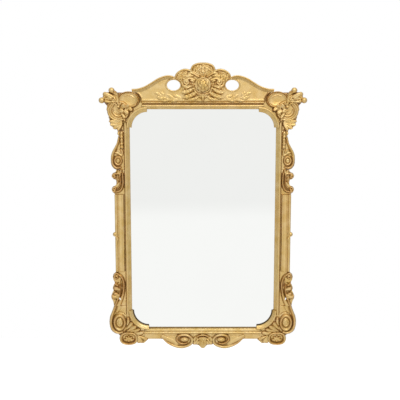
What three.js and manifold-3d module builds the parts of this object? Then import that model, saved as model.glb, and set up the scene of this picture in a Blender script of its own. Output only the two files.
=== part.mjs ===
// Overmantel mirror with a carved and gilded pine frame.
//
// Everything is drawn lying on its back, as the carver has it on the bench:
// X runs to the right, Y up the wall and Z out of the wall. The finished
// assembly is stood up at the end, so that +Z of the part is up and its back
// lies in the wall plane. The origin is the middle of the back.
//
// Lengths are millimetres. Carved pieces are drawn for the right-hand side, as
// offsets from the nearest corner of the sight opening, and mirrored for the left.

import * as THREE from 'three';
import { mergeVertices } from 'three/addons/utils/BufferGeometryUtils.js';
import Module from 'manifold-3d';

const wasm = await Module();
wasm.setup();

// ---------------------------------------------------------------------------
// Driving dimensions
// ---------------------------------------------------------------------------

// The opening that shows the looking glass.
const SIGHT_WIDTH = 798;
const SIGHT_HEIGHT = 1212;
const GLUE_LINE = 0.3;

// Looking glass and the pine carcass behind the gilding.
const PLATE_THICKNESS = 5;
const PLATE_LAP = 6;
const PLATE_PLAY = 2;
const CARCASS_THICKNESS = 24;
const LAP_DEPTH = 12;
const BACK_REBATE_WIDTH = 12;
const RAIL_TOP_WIDTH = 58;
const RAIL_BOTTOM_WIDTH = 52;
const FILLET_WIDTH = 13;
const BACKBOARD_COUNT = 3;
const BACKBOARD_GAP = 1;
const BACKBOARD_PLAY = 1;

// Stile outline, as widths outward from the sight edge.
const STILE_BODY = 80;
const STILE_WAIST = 56;
const STILE_FOOT = 88;
const STILE_HORN = 94;

// Gilded mouldings: cove, torus and quirk round the glass.
const SIGHT_LIP = 5;
const COVE_WIDTH = 9;
const TORUS_RADIUS = 8;
const QUIRK_WIDTH = 3;
const QUIRK_FLOOR = 11;
const FILLET_HEIGHT = 14;
const SIDE_FILLET = 4;
const TOP_FILLET = 12;
const BASE_BAND = 39;
const BASE_BAND_HEIGHT = 10;
const CORNER_RADIUS = 84;
const CORNER_INSET = 11;
const CORNER_SCRIBE = 25;

// Pilaster strips down the sides: field, quirk and outer bead.
const PILASTER_WIDTH = 55;
const PILASTER_FIELD_HEIGHT = 12;
const PILASTER_HOLLOW = 3;
const PILASTER_BEAD = 17;

// Crest board with its two pierced ovals.
const CREST_THICKNESS = 18;
const CREST_HOLE_OUT = 158;
const CREST_HOLE_UP = 132;
const CREST_HOLE_WIDTH = 72;
const CREST_HOLE_HEIGHT = 57;
const CREST_BRACE_OUT = 82;
const CREST_BRACE_WIDTH = 46;
const CREST_BRACE_HEIGHT = 150;
const CREST_MOULD_WIDTH = 19;
const CREST_MOULD_HEIGHT = 11;

// Carving: thickness of the ground that every carved piece is cut from.
const CARVED_GROUND = 12;
const CARTOUCHE_GROUND = 16;

// Hanging hardware on the back of the top rail.
const HANGER_OUT = 158;
const STRAP_WIDTH = 18;
const STRAP_THICKNESS = 1.6;
const STRAP_LENGTH = 32;
const KNUCKLE_WALL = 1.4;
const KNUCKLE_LENGTH = 14;
const STRAP_MARGIN = 2;
const RING_WIRE = 4;
const RING_PLAY = 0.3;
const RING_STANDOFF = 1;
const RING_CORNER = 5;
const RING_WIDTH = 38;
const RING_DROP = 30;

// ---------------------------------------------------------------------------
// Planes and edges that follow from them
// ---------------------------------------------------------------------------

const SIGHT_X = SIGHT_WIDTH / 2;
const SIGHT_Y = SIGHT_HEIGHT / 2;
const FACE = CARCASS_THICKNESS + GLUE_LINE;
const PLATE_FRONT = CARCASS_THICKNESS - GLUE_LINE;
const PLATE_BACK = PLATE_FRONT - PLATE_THICKNESS;
const REBATE_X = SIGHT_X + PLATE_LAP + PLATE_PLAY;
const REBATE_Y = SIGHT_Y + PLATE_LAP + PLATE_PLAY;
const BACK_X = REBATE_X + BACK_REBATE_WIDTH;
const BACK_Y = REBATE_Y + BACK_REBATE_WIDTH;
const RAIL_TOP_EDGE = REBATE_Y + RAIL_TOP_WIDTH;
const RAIL_BOTTOM_EDGE = REBATE_Y + RAIL_BOTTOM_WIDTH;
const MOULD_WIDTH = COVE_WIDTH + 2 * TORUS_RADIUS + QUIRK_WIDTH;
const SIDE_MOULD_X = SIGHT_X + MOULD_WIDTH + SIDE_FILLET;
const TOP_MOULD_Y = SIGHT_Y + MOULD_WIDTH + TOP_FILLET;
const BASE_EDGE = SIGHT_Y + MOULD_WIDTH + BASE_BAND;
const CORNER_X = SIGHT_X - CORNER_INSET - CORNER_RADIUS;
const CORNER_Y = SIGHT_Y - CORNER_INSET - CORNER_RADIUS;
const PILASTER_X = SIDE_MOULD_X + GLUE_LINE;
const CREST_FOOT = TOP_MOULD_Y + GLUE_LINE;
const CREST_FACE = FACE + CREST_THICKNESS;

// ---------------------------------------------------------------------------
// Materials
// ---------------------------------------------------------------------------

const finish = (color, roughness, metalness) =>
  new THREE.MeshStandardMaterial({ color, roughness, metalness });

const GILT = finish(0xbe9d60, 0.42, 0.85);
const PINE = finish(0xb18a58, 0.8, 0);
const MIRROR = finish(0xf2f3f1, 0.03, 1);
const STEEL = finish(0x8f9092, 0.45, 0.9);

// ---------------------------------------------------------------------------
// Solids
// ---------------------------------------------------------------------------

function toSolid(geometry) {
  const bare = new THREE.BufferGeometry();
  bare.setAttribute('position', geometry.getAttribute('position').clone());
  if (geometry.index) bare.setIndex(geometry.index.clone());
  const merged = mergeVertices(bare, 1e-4);
  const vertProperties = new Float32Array(merged.getAttribute('position').array);
  const corners = Array.from(merged.index.array);
  const triVerts = [];
  for (let i = 0; i < corners.length; i += 3) {
    const [a, b, c] = corners.slice(i, i + 3);
    if (a !== b && b !== c && c !== a) triVerts.push(a, b, c);
  }
  const mesh = new wasm.Mesh({ numProp: 3, vertProperties, triVerts: new Uint32Array(triVerts) });
  return new wasm.Manifold(mesh);
}

function toGeometry(solid, mirrored) {
  const mesh = solid.getMesh();
  const positions = Float32Array.from(mesh.vertProperties);
  const corners = Uint32Array.from(mesh.triVerts);
  if (mirrored) {
    for (let i = 0; i < positions.length; i += 3) positions[i] *= -1;
    for (let i = 0; i < corners.length; i += 3) {
      [corners[i], corners[i + 1]] = [corners[i + 1], corners[i]];
    }
  }
  const geometry = new THREE.BufferGeometry();
  geometry.setAttribute('position', new THREE.BufferAttribute(positions, 3));
  geometry.setIndex(new THREE.BufferAttribute(corners, 1));
  geometry.computeVertexNormals();
  return geometry;
}

const join = (...solids) => solids.reduce((whole, solid) => whole.add(solid));

// Joined carving, with the slivers cleaned off where its forms meet.
const SLIVER = 0.1;
const carve = (...solids) => join(...solids).simplify(SLIVER);

const cut = (body, ...tools) => tools.reduce((left, tool) => left.subtract(tool), body);

// A closed surface from its corner points and faces, turned right side out.
function closedSurface(points, faces) {
  let volume = 0;
  for (const [a, b, c] of faces) {
    volume += new THREE.Vector3(...points[a])
      .dot(new THREE.Vector3(...points[b]).cross(new THREE.Vector3(...points[c])));
  }
  const outward = volume > 0 ? faces : faces.map(([a, b, c]) => [a, c, b]);
  const geometry = new THREE.BufferGeometry();
  geometry.setAttribute('position', new THREE.Float32BufferAttribute(points.flat(), 3));
  geometry.setIndex(outward.flat());
  return toSolid(geometry);
}

// Rings of equal length joined into a skin, with a flat cap at each end.
function loft(rings) {
  const count = rings[0].length;
  const points = rings.flat();
  const faces = [];
  for (let ring = 0; ring < rings.length - 1; ring++) {
    for (let i = 0; i < count; i++) {
      const a = ring * count + i;
      const b = ring * count + ((i + 1) % count);
      faces.push([a, b, b + count], [a, b + count, a + count]);
    }
  }
  const last = (rings.length - 1) * count;
  for (const [a, b, c] of capFaces(rings[0])) faces.push([a, c, b]);
  for (const [a, b, c] of capFaces(rings[rings.length - 1])) faces.push([last + a, last + b, last + c]);
  return closedSurface(points, faces);
}

// Triangles that fill an end ring, wound the way the ring runs.
function capFaces(ring) {
  const flat = capOutline(ring);
  const triangles = THREE.ShapeUtils.triangulateShape(flat, []);
  const [a, b, c] = triangles[0].map((corner) => flat[corner]);
  const turn = (b.x - a.x) * (c.y - a.y) - (b.y - a.y) * (c.x - a.x);
  const agrees = turn * THREE.ShapeUtils.area(flat) > 0;
  return agrees ? triangles : triangles.map(([i, j, k]) => [i, k, j]);
}

// The end ring seen square on, for triangulating its cap.
function capOutline(ring) {
  const corners = ring.map((point) => new THREE.Vector3(...point));
  const along = corners[corners.length - 1].clone().sub(corners[0]);
  along.z = 0;
  const unit = along.lengthSq() > 0 ? along.normalize() : new THREE.Vector3(1, 0, 0);
  return corners.map((corner) => new THREE.Vector2(corner.dot(unit), corner.z));
}

// Ovals are all cut with the same number of sides, so that a turned piece fits its cut-out.
const OVAL_SIDES = 16;

// Cutters reach from below the back face to well above the tallest carving.
const CUT_LOW = -1;
const CUT_HIGH = 120;

function plank(shape, bottom, top, curveSegments = OVAL_SIDES / 2) {
  const geometry = new THREE.ExtrudeGeometry(shape, {
    depth: top - bottom, bevelEnabled: false, curveSegments,
  });
  geometry.translate(0, 0, bottom);
  return toSolid(geometry);
}

const outline = (points) => new THREE.Shape(points.map(([x, y]) => new THREE.Vector2(x, y)));

function bar(left, right, low, high, bottom, top) {
  const geometry = new THREE.BoxGeometry(right - left, high - low, top - bottom);
  geometry.translate((left + right) / 2, (low + high) / 2, (bottom + top) / 2);
  return toSolid(geometry);
}

function ellipse(x, y, radiusX, radiusY) {
  const shape = new THREE.Shape();
  shape.absellipse(x, y, radiusX, radiusY, 0, 2 * Math.PI);
  return shape;
}

// A moulding run: section points [out, height] carried along stations on a line.
function mouldingRun(section, stations, base) {
  return loft(stations.map(({ x, y, out }) =>
    section.map(([u, z]) => [x + out[0] * u, y + out[1] * u, base + z])));
}

// Turned form: profile of [radius, height] from axis to axis, stretched to an oval.
function turned(profile, x, y, radiusX, radiusY, base, segments = OVAL_SIDES) {
  const lathe = new THREE.LatheGeometry(
    profile.map(([r, z]) => new THREE.Vector2(r, z)), segments);
  lathe.rotateX(Math.PI / 2);
  lathe.scale(radiusX, radiusY, 1);
  lathe.translate(x, y, base);
  const position = lathe.getAttribute('position');
  const points = [];
  for (let i = 0; i < position.count; i++) {
    points.push([position.getX(i), position.getY(i), position.getZ(i)]);
  }
  const faces = [];
  for (let i = 0; i < lathe.index.count; i += 3) {
    faces.push([0, 1, 2].map((step) => lathe.index.getX(i + step)));
  }
  return closedSurface(points, faces);
}

function boss(x, y, radiusX, radiusY, base, height, segments = 8) {
  const profile = [[0, 0], [1, 0]];
  const steps = 2;
  for (let i = 0; i < steps; i++) {
    const angle = (i / steps) * (Math.PI / 2);
    profile.push([Math.cos(angle), height * (0.25 + 0.75 * Math.sin(angle))]);
  }
  profile.push([0, height]);
  return turned(profile, x, y, radiusX, radiusY, base, segments);
}

// A carved strap: an arched section carried along a drawn line, its width and
// height following the fraction t of the way along.
function strap(points, width, height, base, steps = 16, archSteps = 4) {
  const line = new THREE.CatmullRomCurve3(
    points.map(([x, y]) => new THREE.Vector3(x, y, 0)), false, 'centripetal');
  const rings = [];
  for (let step = 0; step <= steps; step++) {
    const t = step / steps;
    const at = line.getPointAt(t);
    const ahead = line.getTangentAt(t);
    const half = width(t) / 2;
    const ring = [];
    for (let i = 0; i <= archSteps; i++) {
      const angle = (i / archSteps) * Math.PI;
      const across = Math.cos(angle) * half;
      const up = height(t) * Math.sqrt(Math.sin(angle));
      ring.push([at.x - ahead.y * across, at.y + ahead.x * across, base + up]);
    }
    rings.push(ring);
  }
  return loft(rings);
}

const taper = (from, to) => (t) => from + (to - from) * t;

// Points of a scroll that winds in to its eye; hand is 1 for anticlockwise.
function scrollPoints({ x, y, radiusX, radiusY, start, turns, eye, hand, perTurn = 10 }) {
  const count = Math.round(turns * perTurn);
  const points = [];
  for (let i = 0; i <= count; i++) {
    const t = i / count;
    const shrink = 1 - (1 - eye) * t;
    const angle = start + hand * t * turns * 2 * Math.PI;
    points.push([x + Math.cos(angle) * radiusX * shrink, y + Math.sin(angle) * radiusY * shrink]);
  }
  return points;
}

// A carved leaf: lobed edges, a sunk midrib and a round tip. Its half width swells
// from the root to the widest place and closes in a quarter oval.
const LEAF_ROOT = 0.4;
const LEAF_WIDEST = 0.55;
const LEAF_END = 1.03;
const LEAF_ACROSS = [1, 0.55, 0, -0.55, -1];
const LEAF_RISE = [0, 1, 0.65, 1, 0];

function swell(t) {
  if (t < LEAF_WIDEST) return LEAF_ROOT + (1 - LEAF_ROOT) * Math.sin((t / LEAF_WIDEST) * (Math.PI / 2));
  return Math.sqrt(1 - ((t - LEAF_WIDEST) / (LEAF_END - LEAF_WIDEST)) ** 2);
}

function leaf({ root, tip, bend = 0, width, height, lobes, base, grow = 0 }) {
  const [rootX, rootY] = root;
  const [tipX, tipY] = tip;
  const length = Math.hypot(tipX - rootX, tipY - rootY);
  const side = [-(tipY - rootY) / length, (tipX - rootX) / length];
  const middle = [
    (rootX + tipX) / 2 + side[0] * bend, (rootY + tipY) / 2 + side[1] * bend,
  ];
  const line = new THREE.QuadraticBezierCurve(
    new THREE.Vector2(...root), new THREE.Vector2(...middle), new THREE.Vector2(...tip));
  const steps = 2 * lobes + 2;
  const rings = [];
  for (let step = 0; step <= steps; step++) {
    const t = step / steps;
    const at = line.getPoint(t);
    const ahead = line.getTangent(t);
    const lobe = 1 + 0.16 * Math.cos(2 * Math.PI * lobes * t) * (1 - t);
    const half = (width / 2) * swell(t) * lobe + grow;
    const top = height * (0.55 + 0.45 * swell(t));
    rings.push(LEAF_ACROSS.map((fraction, i) => [
      at.x - ahead.y * half * fraction, at.y + ahead.x * half * fraction, base + top * LEAF_RISE[i]]));
  }
  return loft(rings);
}

// A fan or rosette about a point: radius and height are given for each direction.
function fan({ x, y, from, to, spokes, rings, radius, height, base }) {
  const full = Math.abs(to - from) >= 2 * Math.PI - 1e-6;
  const columns = full ? spokes : spokes + 1;
  const points = [[x, y, base], [x, y, base + height(0, from)]];
  const at = (column, ring, top) => 2 + ((column % columns) * rings + ring) * 2 + (top ? 1 : 0);
  for (let column = 0; column < columns; column++) {
    const angle = from + (to - from) * (column / spokes);
    for (let ring = 1; ring <= rings; ring++) {
      const fraction = ring / rings;
      const reach = radius(angle, column) * fraction;
      const place = [x + Math.cos(angle) * reach, y + Math.sin(angle) * reach];
      points.push([...place, base], [...place, base + height(fraction, angle, column)]);
    }
  }
  const faces = [];
  const quad = (a, b, c, d) => faces.push([a, b, c], [a, c, d]);
  for (let column = 0; column < spokes; column++) {
    const next = column + 1;
    faces.push([1, at(column, 0, true), at(next, 0, true)]);
    faces.push([0, at(next, 0, false), at(column, 0, false)]);
    for (let ring = 0; ring < rings - 1; ring++) {
      const outer = ring + 1;
      quad(at(column, ring, true), at(column, outer, true), at(next, outer, true), at(next, ring, true));
      quad(at(column, ring, false), at(next, ring, false), at(next, outer, false),
        at(column, outer, false));
    }
    const rim = rings - 1;
    quad(at(column, rim, false), at(next, rim, false), at(next, rim, true), at(column, rim, true));
  }
  if (!full) {
    for (const [column, flip] of [[0, false], [spokes, true]]) {
      const side = [];
      side.push([0, at(column, 0, false), at(column, 0, true)], [0, at(column, 0, true), 1]);
      for (let ring = 0; ring < rings - 1; ring++) {
        const [a, b] = [at(column, ring, false), at(column, ring + 1, false)];
        const [c, d] = [at(column, ring + 1, true), at(column, ring, true)];
        side.push([a, b, c], [a, c, d]);
      }
      faces.push(...side.map(([a, b, c]) => (flip ? [a, c, b] : [a, b, c])));
    }
  }
  return closedSurface(points, faces);
}

// ---------------------------------------------------------------------------
// Assembly helpers
// ---------------------------------------------------------------------------

const bench = new THREE.Group();

function place(name, solid, material, mirrored = false) {
  const mesh = new THREE.Mesh(toGeometry(solid, mirrored), material);
  mesh.name = name;
  bench.add(mesh);
}

function placePair(name, solid, material) {
  place(`${name}_right`, solid, material);
  place(`${name}_left`, solid, material, true);
}

const flipped = (solid) => toSolid(toGeometry(solid, true));

// Points given as [out, down] from the upper right sight corner, or [out, up]
// from the lower right one.
const upperRight = ([out, down]) => [SIGHT_X + out, SIGHT_Y - down];
const lowerRight = ([out, up]) => [SIGHT_X + out, -SIGHT_Y + up];

// ---------------------------------------------------------------------------
// Carcass: halved pine frame, ears, crest braces, plate and backboards
// ---------------------------------------------------------------------------

// Ends of the pilaster strips, down from the upper sight corner and up from the lower one.
const STRIP_DOWN = 462;
const STRIP_UP = 318;
const PILASTER_TOP = SIGHT_Y - STRIP_DOWN;
const PILASTER_FOOT = -SIGHT_Y + STRIP_UP;

const backRecess = () => bar(-BACK_X, BACK_X, -BACK_Y, BACK_Y, CUT_LOW, LAP_DEPTH);

// Heights along the stile where its sawn outline changes width.
const WAIST_TOP_LOW = PILASTER_TOP + 6;
const WAIST_BOTTOM_HIGH = PILASTER_FOOT + 4;
const FOOT_HIGH = -SIGHT_Y + 105;
const FOOT_LOW = -SIGHT_Y - 22;
const EASE = 24;

function stile() {
  const shape = new THREE.Shape();
  const body = SIGHT_X + STILE_BODY;
  const waist = SIGHT_X + STILE_WAIST;
  const foot = SIGHT_X + STILE_FOOT;
  const top = SIGHT_Y + STILE_HORN;
  shape.moveTo(REBATE_X, -RAIL_BOTTOM_EDGE);
  shape.lineTo(waist, -RAIL_BOTTOM_EDGE);
  shape.quadraticCurveTo(foot, -RAIL_BOTTOM_EDGE, foot, FOOT_LOW + EASE);
  shape.lineTo(foot, FOOT_HIGH - 2 * EASE);
  shape.quadraticCurveTo(foot, FOOT_HIGH, waist, FOOT_HIGH);
  shape.lineTo(waist, WAIST_BOTTOM_HIGH - EASE);
  shape.quadraticCurveTo(body, WAIST_BOTTOM_HIGH - EASE, body, WAIST_BOTTOM_HIGH);
  shape.lineTo(body, WAIST_TOP_LOW);
  shape.quadraticCurveTo(body, WAIST_TOP_LOW + EASE, waist, WAIST_TOP_LOW + EASE);
  shape.lineTo(waist, top);
  shape.lineTo(REBATE_X, top);
  const board = plank(shape, 0, CARCASS_THICKNESS, 5);
  const lap = LAP_DEPTH + GLUE_LINE / 2;
  return cut(board,
    bar(0, SIGHT_X * 2, REBATE_Y - GLUE_LINE, RAIL_TOP_EDGE + GLUE_LINE, CUT_LOW, lap),
    bar(0, SIGHT_X * 2, -SIGHT_Y * 2, -REBATE_Y + GLUE_LINE, CUT_LOW, lap),
    backRecess());
}

function rail(inner, outer) {
  const lap = LAP_DEPTH - GLUE_LINE / 2;
  const reach = SIGHT_X + STILE_WAIST;
  const board = bar(-reach, reach, inner, outer, 0, CARCASS_THICKNESS);
  const shoulder = REBATE_X - GLUE_LINE;
  return cut(board,
    bar(shoulder, SIGHT_X * 2, inner - 1, outer + 1, lap, CUT_HIGH),
    bar(-SIGHT_X * 2, -shoulder, inner - 1, outer + 1, lap, CUT_HIGH),
    backRecess());
}

const braceLeft = CREST_BRACE_OUT - CREST_BRACE_WIDTH / 2;
const braceRight = CREST_BRACE_OUT + CREST_BRACE_WIDTH / 2;
const BRACE_TONGUE = 34;

function crestBrace() {
  const lap = LAP_DEPTH - GLUE_LINE / 2;
  const foot = RAIL_TOP_EDGE + GLUE_LINE;
  return join(
    bar(braceLeft, braceRight, foot, foot + CREST_BRACE_HEIGHT, 0, CARCASS_THICKNESS),
    bar(braceLeft, braceRight, RAIL_TOP_EDGE - BRACE_TONGUE, foot + 1, 0, lap));
}

function topRail() {
  const notch = (left, right) => bar(left, right, RAIL_TOP_EDGE - BRACE_TONGUE - GLUE_LINE,
    RAIL_TOP_EDGE + 1, CUT_LOW, LAP_DEPTH + GLUE_LINE / 2);
  return cut(rail(REBATE_Y, RAIL_TOP_EDGE),
    notch(braceLeft - GLUE_LINE, braceRight + GLUE_LINE),
    notch(-braceRight - GLUE_LINE, -braceLeft + GLUE_LINE));
}

// Ear glued to the stile's outer edge behind each upper cartouche.
const EAR_LOW = 92;
const EAR_POINTS = [[86, 96], [106, 74], [112, 22], [116, -14], [140, -46], [142, -78], [118, -96]];

function ear() {
  const edge = SIGHT_X + STILE_WAIST + GLUE_LINE;
  const shape = new THREE.Shape();
  shape.moveTo(edge, SIGHT_Y - EAR_LOW);
  shape.splineThru(EAR_POINTS.map((point) => new THREE.Vector2(...upperRight(point))));
  shape.lineTo(edge, SIGHT_Y + STILE_HORN);
  return plank(shape, 0, CARCASS_THICKNESS, 2);
}

placePair('frame_stile', stile(), PINE);
place('frame_rail_top', topRail(), PINE);
place('frame_rail_bottom', rail(-RAIL_BOTTOM_EDGE, -REBATE_Y), PINE);
placePair('corner_ear', ear(), PINE);
placePair('crest_brace', crestBrace(), PINE);

place('mirror_plate', bar(
  -SIGHT_X - PLATE_LAP, SIGHT_X + PLATE_LAP, -SIGHT_Y - PLATE_LAP, SIGHT_Y + PLATE_LAP,
  PLATE_BACK, PLATE_FRONT), MIRROR);

// Fillets pinned round the rebate hold the plate against the sight mouldings.
const filletX = REBATE_X - GLUE_LINE;
const filletY = REBATE_Y - GLUE_LINE;
const filletBack = LAP_DEPTH + GLUE_LINE;
const filletFront = PLATE_BACK - GLUE_LINE;
for (const [name, side] of [['top', 1], ['bottom', -1]]) {
  const edges = [side * filletY, side * (filletY - FILLET_WIDTH)].sort((a, b) => a - b);
  place(`plate_fillet_${name}`, bar(-filletX, filletX, ...edges, filletBack, filletFront), PINE);
}
const filletEnd = filletY - FILLET_WIDTH - GLUE_LINE;
placePair('plate_fillet', bar(
  filletX - FILLET_WIDTH, filletX, -filletEnd, filletEnd, filletBack, filletFront), PINE);

const boardSpan = 2 * (BACK_Y - BACKBOARD_PLAY);
const boardHeight = (boardSpan - BACKBOARD_GAP * (BACKBOARD_COUNT - 1)) / BACKBOARD_COUNT;
const boardReach = BACK_X - BACKBOARD_PLAY;
['lower', 'middle', 'upper'].forEach((name, row) => {
  const low = -boardSpan / 2 + row * (boardHeight + BACKBOARD_GAP);
  place(`backboard_${name}`, bar(
    -boardReach, boardReach, low, low + boardHeight, 0, LAP_DEPTH - GLUE_LINE), PINE);
});

// ---------------------------------------------------------------------------
// Gilded mouldings round the glass
// ---------------------------------------------------------------------------

// Section from the sight edge outward: lip, cove, torus, quirk, outer member.
function sightSection(outerWidth, outerHeight) {
  const section = [[0, 0], [0, SIGHT_LIP]];
  const rise = QUIRK_FLOOR + TORUS_RADIUS - 2;
  const coveSteps = 3;
  for (let i = 1; i <= coveSteps; i++) {
    const angle = (i / coveSteps) * (Math.PI / 2);
    section.push([
      COVE_WIDTH * Math.sin(angle) * 0.98,
      SIGHT_LIP + (rise - SIGHT_LIP) * (1 - Math.cos(angle))]);
  }
  const torusSteps = 5;
  for (let i = 0; i <= torusSteps; i++) {
    const angle = Math.PI - (i / torusSteps) * Math.PI;
    section.push([
      COVE_WIDTH + TORUS_RADIUS + TORUS_RADIUS * Math.cos(angle),
      rise + TORUS_RADIUS * Math.sin(angle)]);
  }
  const quirk = COVE_WIDTH + 2 * TORUS_RADIUS;
  section.push([quirk, QUIRK_FLOOR], [quirk + QUIRK_WIDTH, QUIRK_FLOOR]);
  if (outerWidth > 0) {
    section.push([MOULD_WIDTH, outerHeight], [MOULD_WIDTH + outerWidth, outerHeight]);
    section.push([MOULD_WIDTH + outerWidth, 0]);
  } else {
    section.push([MOULD_WIDTH, 0]);
  }
  return section;
}

// The quarter-round corner mouldings and the edges scribed to them share these facets.
const CORNER_FACETS = 8;

// Quarter disc that a straight moulding is scribed to where it meets a corner.
function cornerScribe(signX, signY, clearance = GLUE_LINE) {
  const reach = CORNER_RADIUS + MOULD_WIDTH + clearance;
  const shape = new THREE.Shape();
  const corners = [[-clearance, -clearance], [reach, -clearance]];
  for (let i = 0; i <= CORNER_FACETS; i++) {
    const angle = (i / CORNER_FACETS) * (Math.PI / 2);
    corners.push([reach * Math.cos(angle), reach * Math.sin(angle)]);
  }
  corners.push([-clearance, reach]);
  const turnedRound = signX * signY < 0 ? corners.reverse() : corners;
  shape.setFromPoints(turnedRound.map(([x, y]) =>
    new THREE.Vector2(signX * (CORNER_X + x), signY * (CORNER_Y + y))));
  return plank(shape, CUT_LOW, CUT_HIGH);
}

function straightMoulding(from, to, out, outerWidth, outerHeight) {
  const stations = [from, to].map(([x, y]) => ({ x, y, out }));
  return mouldingRun(sightSection(outerWidth, outerHeight), stations, FACE);
}

const runX = CORNER_X + CORNER_SCRIBE;
const runY = CORNER_Y + CORNER_SCRIBE;
place('sight_moulding_top', cut(
  straightMoulding([-runX, SIGHT_Y], [runX, SIGHT_Y], [0, 1], TOP_FILLET, FILLET_HEIGHT),
  cornerScribe(1, 1), cornerScribe(-1, 1)), GILT);
place('sight_moulding_bottom', cut(
  straightMoulding([-runX, -SIGHT_Y], [runX, -SIGHT_Y], [0, -1], BASE_BAND, BASE_BAND_HEIGHT),
  cornerScribe(1, -1), cornerScribe(-1, -1)), GILT);
placePair('sight_moulding', cut(
  straightMoulding([SIGHT_X, -runY], [SIGHT_X, runY], [1, 0], SIDE_FILLET, FILLET_HEIGHT),
  cornerScribe(1, 1), cornerScribe(1, -1)), GILT);

function cornerMoulding(signY) {
  const stations = [];
  for (let i = 0; i <= CORNER_FACETS; i++) {
    const angle = (i / CORNER_FACETS) * (Math.PI / 2);
    const out = [Math.cos(angle), signY * Math.sin(angle)];
    stations.push({
      x: CORNER_X + CORNER_RADIUS * out[0], y: signY * CORNER_Y + CORNER_RADIUS * out[1], out,
    });
  }
  return mouldingRun(sightSection(0, 0), stations, FACE);
}

placePair('corner_moulding_top', cornerMoulding(1), GILT);
placePair('corner_moulding_bottom', cornerMoulding(-1), GILT);

// ---------------------------------------------------------------------------
// Pilaster strips
// ---------------------------------------------------------------------------

const BUD_DOWN = 684;

function pilasterSection() {
  const beadStart = PILASTER_WIDTH - PILASTER_BEAD;
  const section = [[0, 0], [0, PILASTER_FIELD_HEIGHT], [4, PILASTER_FIELD_HEIGHT]];
  const hollowSteps = 4;
  for (let i = 1; i <= hollowSteps; i++) {
    const t = i / hollowSteps;
    const sag = PILASTER_HOLLOW * Math.sin(Math.PI * t);
    section.push([4 + (beadStart - 7) * t, PILASTER_FIELD_HEIGHT - sag]);
  }
  section.push([beadStart - 3, PILASTER_FIELD_HEIGHT - 4], [beadStart, PILASTER_FIELD_HEIGHT - 4]);
  const beadSteps = 6;
  for (let i = 0; i <= beadSteps; i++) {
    const angle = Math.PI - (i / beadSteps) * Math.PI;
    section.push([
      beadStart + (PILASTER_BEAD / 2) * (1 + Math.cos(angle)),
      PILASTER_FIELD_HEIGHT - 3 + (PILASTER_BEAD / 2) * Math.sin(angle)]);
  }
  section.push([PILASTER_WIDTH, 0]);
  return section;
}

const BUD = { out: 89, radius: 9.5, leafRoot: [72, 716], leafTip: [90, 690] };
const BUD_LEAF = { bend: -4, width: 15, lobes: 1 };

function budFootprint(clearance) {
  const [x, y] = upperRight([BUD.out, BUD_DOWN]);
  return join(
    plank(ellipse(x, y, BUD.radius + clearance, BUD.radius + clearance), CUT_LOW, CUT_HIGH, 5),
    leaf({
      root: upperRight(BUD.leafRoot), tip: upperRight(BUD.leafTip), ...BUD_LEAF, grow: clearance,
      height: CUT_HIGH, base: FACE - GLUE_LINE,
    }));
}

function bud() {
  const [x, y] = upperRight([BUD.out, BUD_DOWN]);
  return join(
    plank(ellipse(x, y, BUD.radius, BUD.radius), FACE, FACE + CARVED_GROUND, 5),
    boss(x, y, BUD.radius * 0.9, BUD.radius * 0.9, FACE + CARVED_GROUND - 2, 14),
    leaf({
      root: upperRight(BUD.leafRoot), tip: upperRight(BUD.leafTip), ...BUD_LEAF,
      height: 24, base: FACE,
    }));
}

function pilaster() {
  const stations = [PILASTER_FOOT, PILASTER_TOP].map((y) => ({ x: PILASTER_X, y, out: [1, 0] }));
  return cut(mouldingRun(pilasterSection(), stations, FACE), budFootprint(GLUE_LINE));
}

placePair('pilaster', pilaster(), GILT);
placePair('mid_bud', bud(), GILT);

// ---------------------------------------------------------------------------
// Crest: pierced board, swan-neck moulding and the shell cartouche
// ---------------------------------------------------------------------------

// Heights above the sight edge. The swan neck runs from the notch beside the
// cartouche (fraction 0) to the tip over the corner (fraction 1).
const SWAN_START = 158;
const SWAN_TIP_INSET = 16;
const SWAN_NECK = [[0, 179], [0.16, 183], [0.36, 170], [0.6, 139], [0.82, 117], [1, 112]];
const SWAN_STEPS = 12;
const MAIN_LOBE = { up: 212, radiusX: 64, radiusY: 38 };
const SIDE_LOBE = { out: 108, up: 176, radiusX: 44, radiusY: 37 };
const DISH = { out: 5, down: -54, radiusX: 56, radiusY: 44 };
const DISC = { out: 61, down: 10, radius: 61 };

const swanTip = SIGHT_X - SWAN_TIP_INSET;
const swanCurve = new THREE.CatmullRomCurve3(SWAN_NECK.map(([fraction, up]) =>
  new THREE.Vector3(SWAN_START + fraction * (swanTip - SWAN_START), SIGHT_Y + up, 0)));

function swanStations() {
  const stations = [];
  for (let i = 0; i <= SWAN_STEPS; i++) {
    const at = swanCurve.getPointAt(i / SWAN_STEPS);
    const ahead = swanCurve.getTangentAt(i / SWAN_STEPS);
    stations.push({ x: at.x, y: at.y, out: [-ahead.y, ahead.x] });
  }
  return stations;
}

const dishOutline = (clearance) => {
  const [x, y] = upperRight([DISH.out, DISH.down]);
  return ellipse(x, y, DISH.radiusX + clearance, DISH.radiusY + clearance);
};

// Cutter for a pierced oval, larger by the rim that neighbouring carving leaves round it.
function crestHole(side, rim = 0) {
  return plank(ellipse(side * CREST_HOLE_OUT, SIGHT_Y + CREST_HOLE_UP,
    CREST_HOLE_WIDTH / 2 + rim, CREST_HOLE_HEIGHT / 2 + rim), CUT_LOW, CUT_HIGH);
}

const BOARD_REVEAL = 4;

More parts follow.
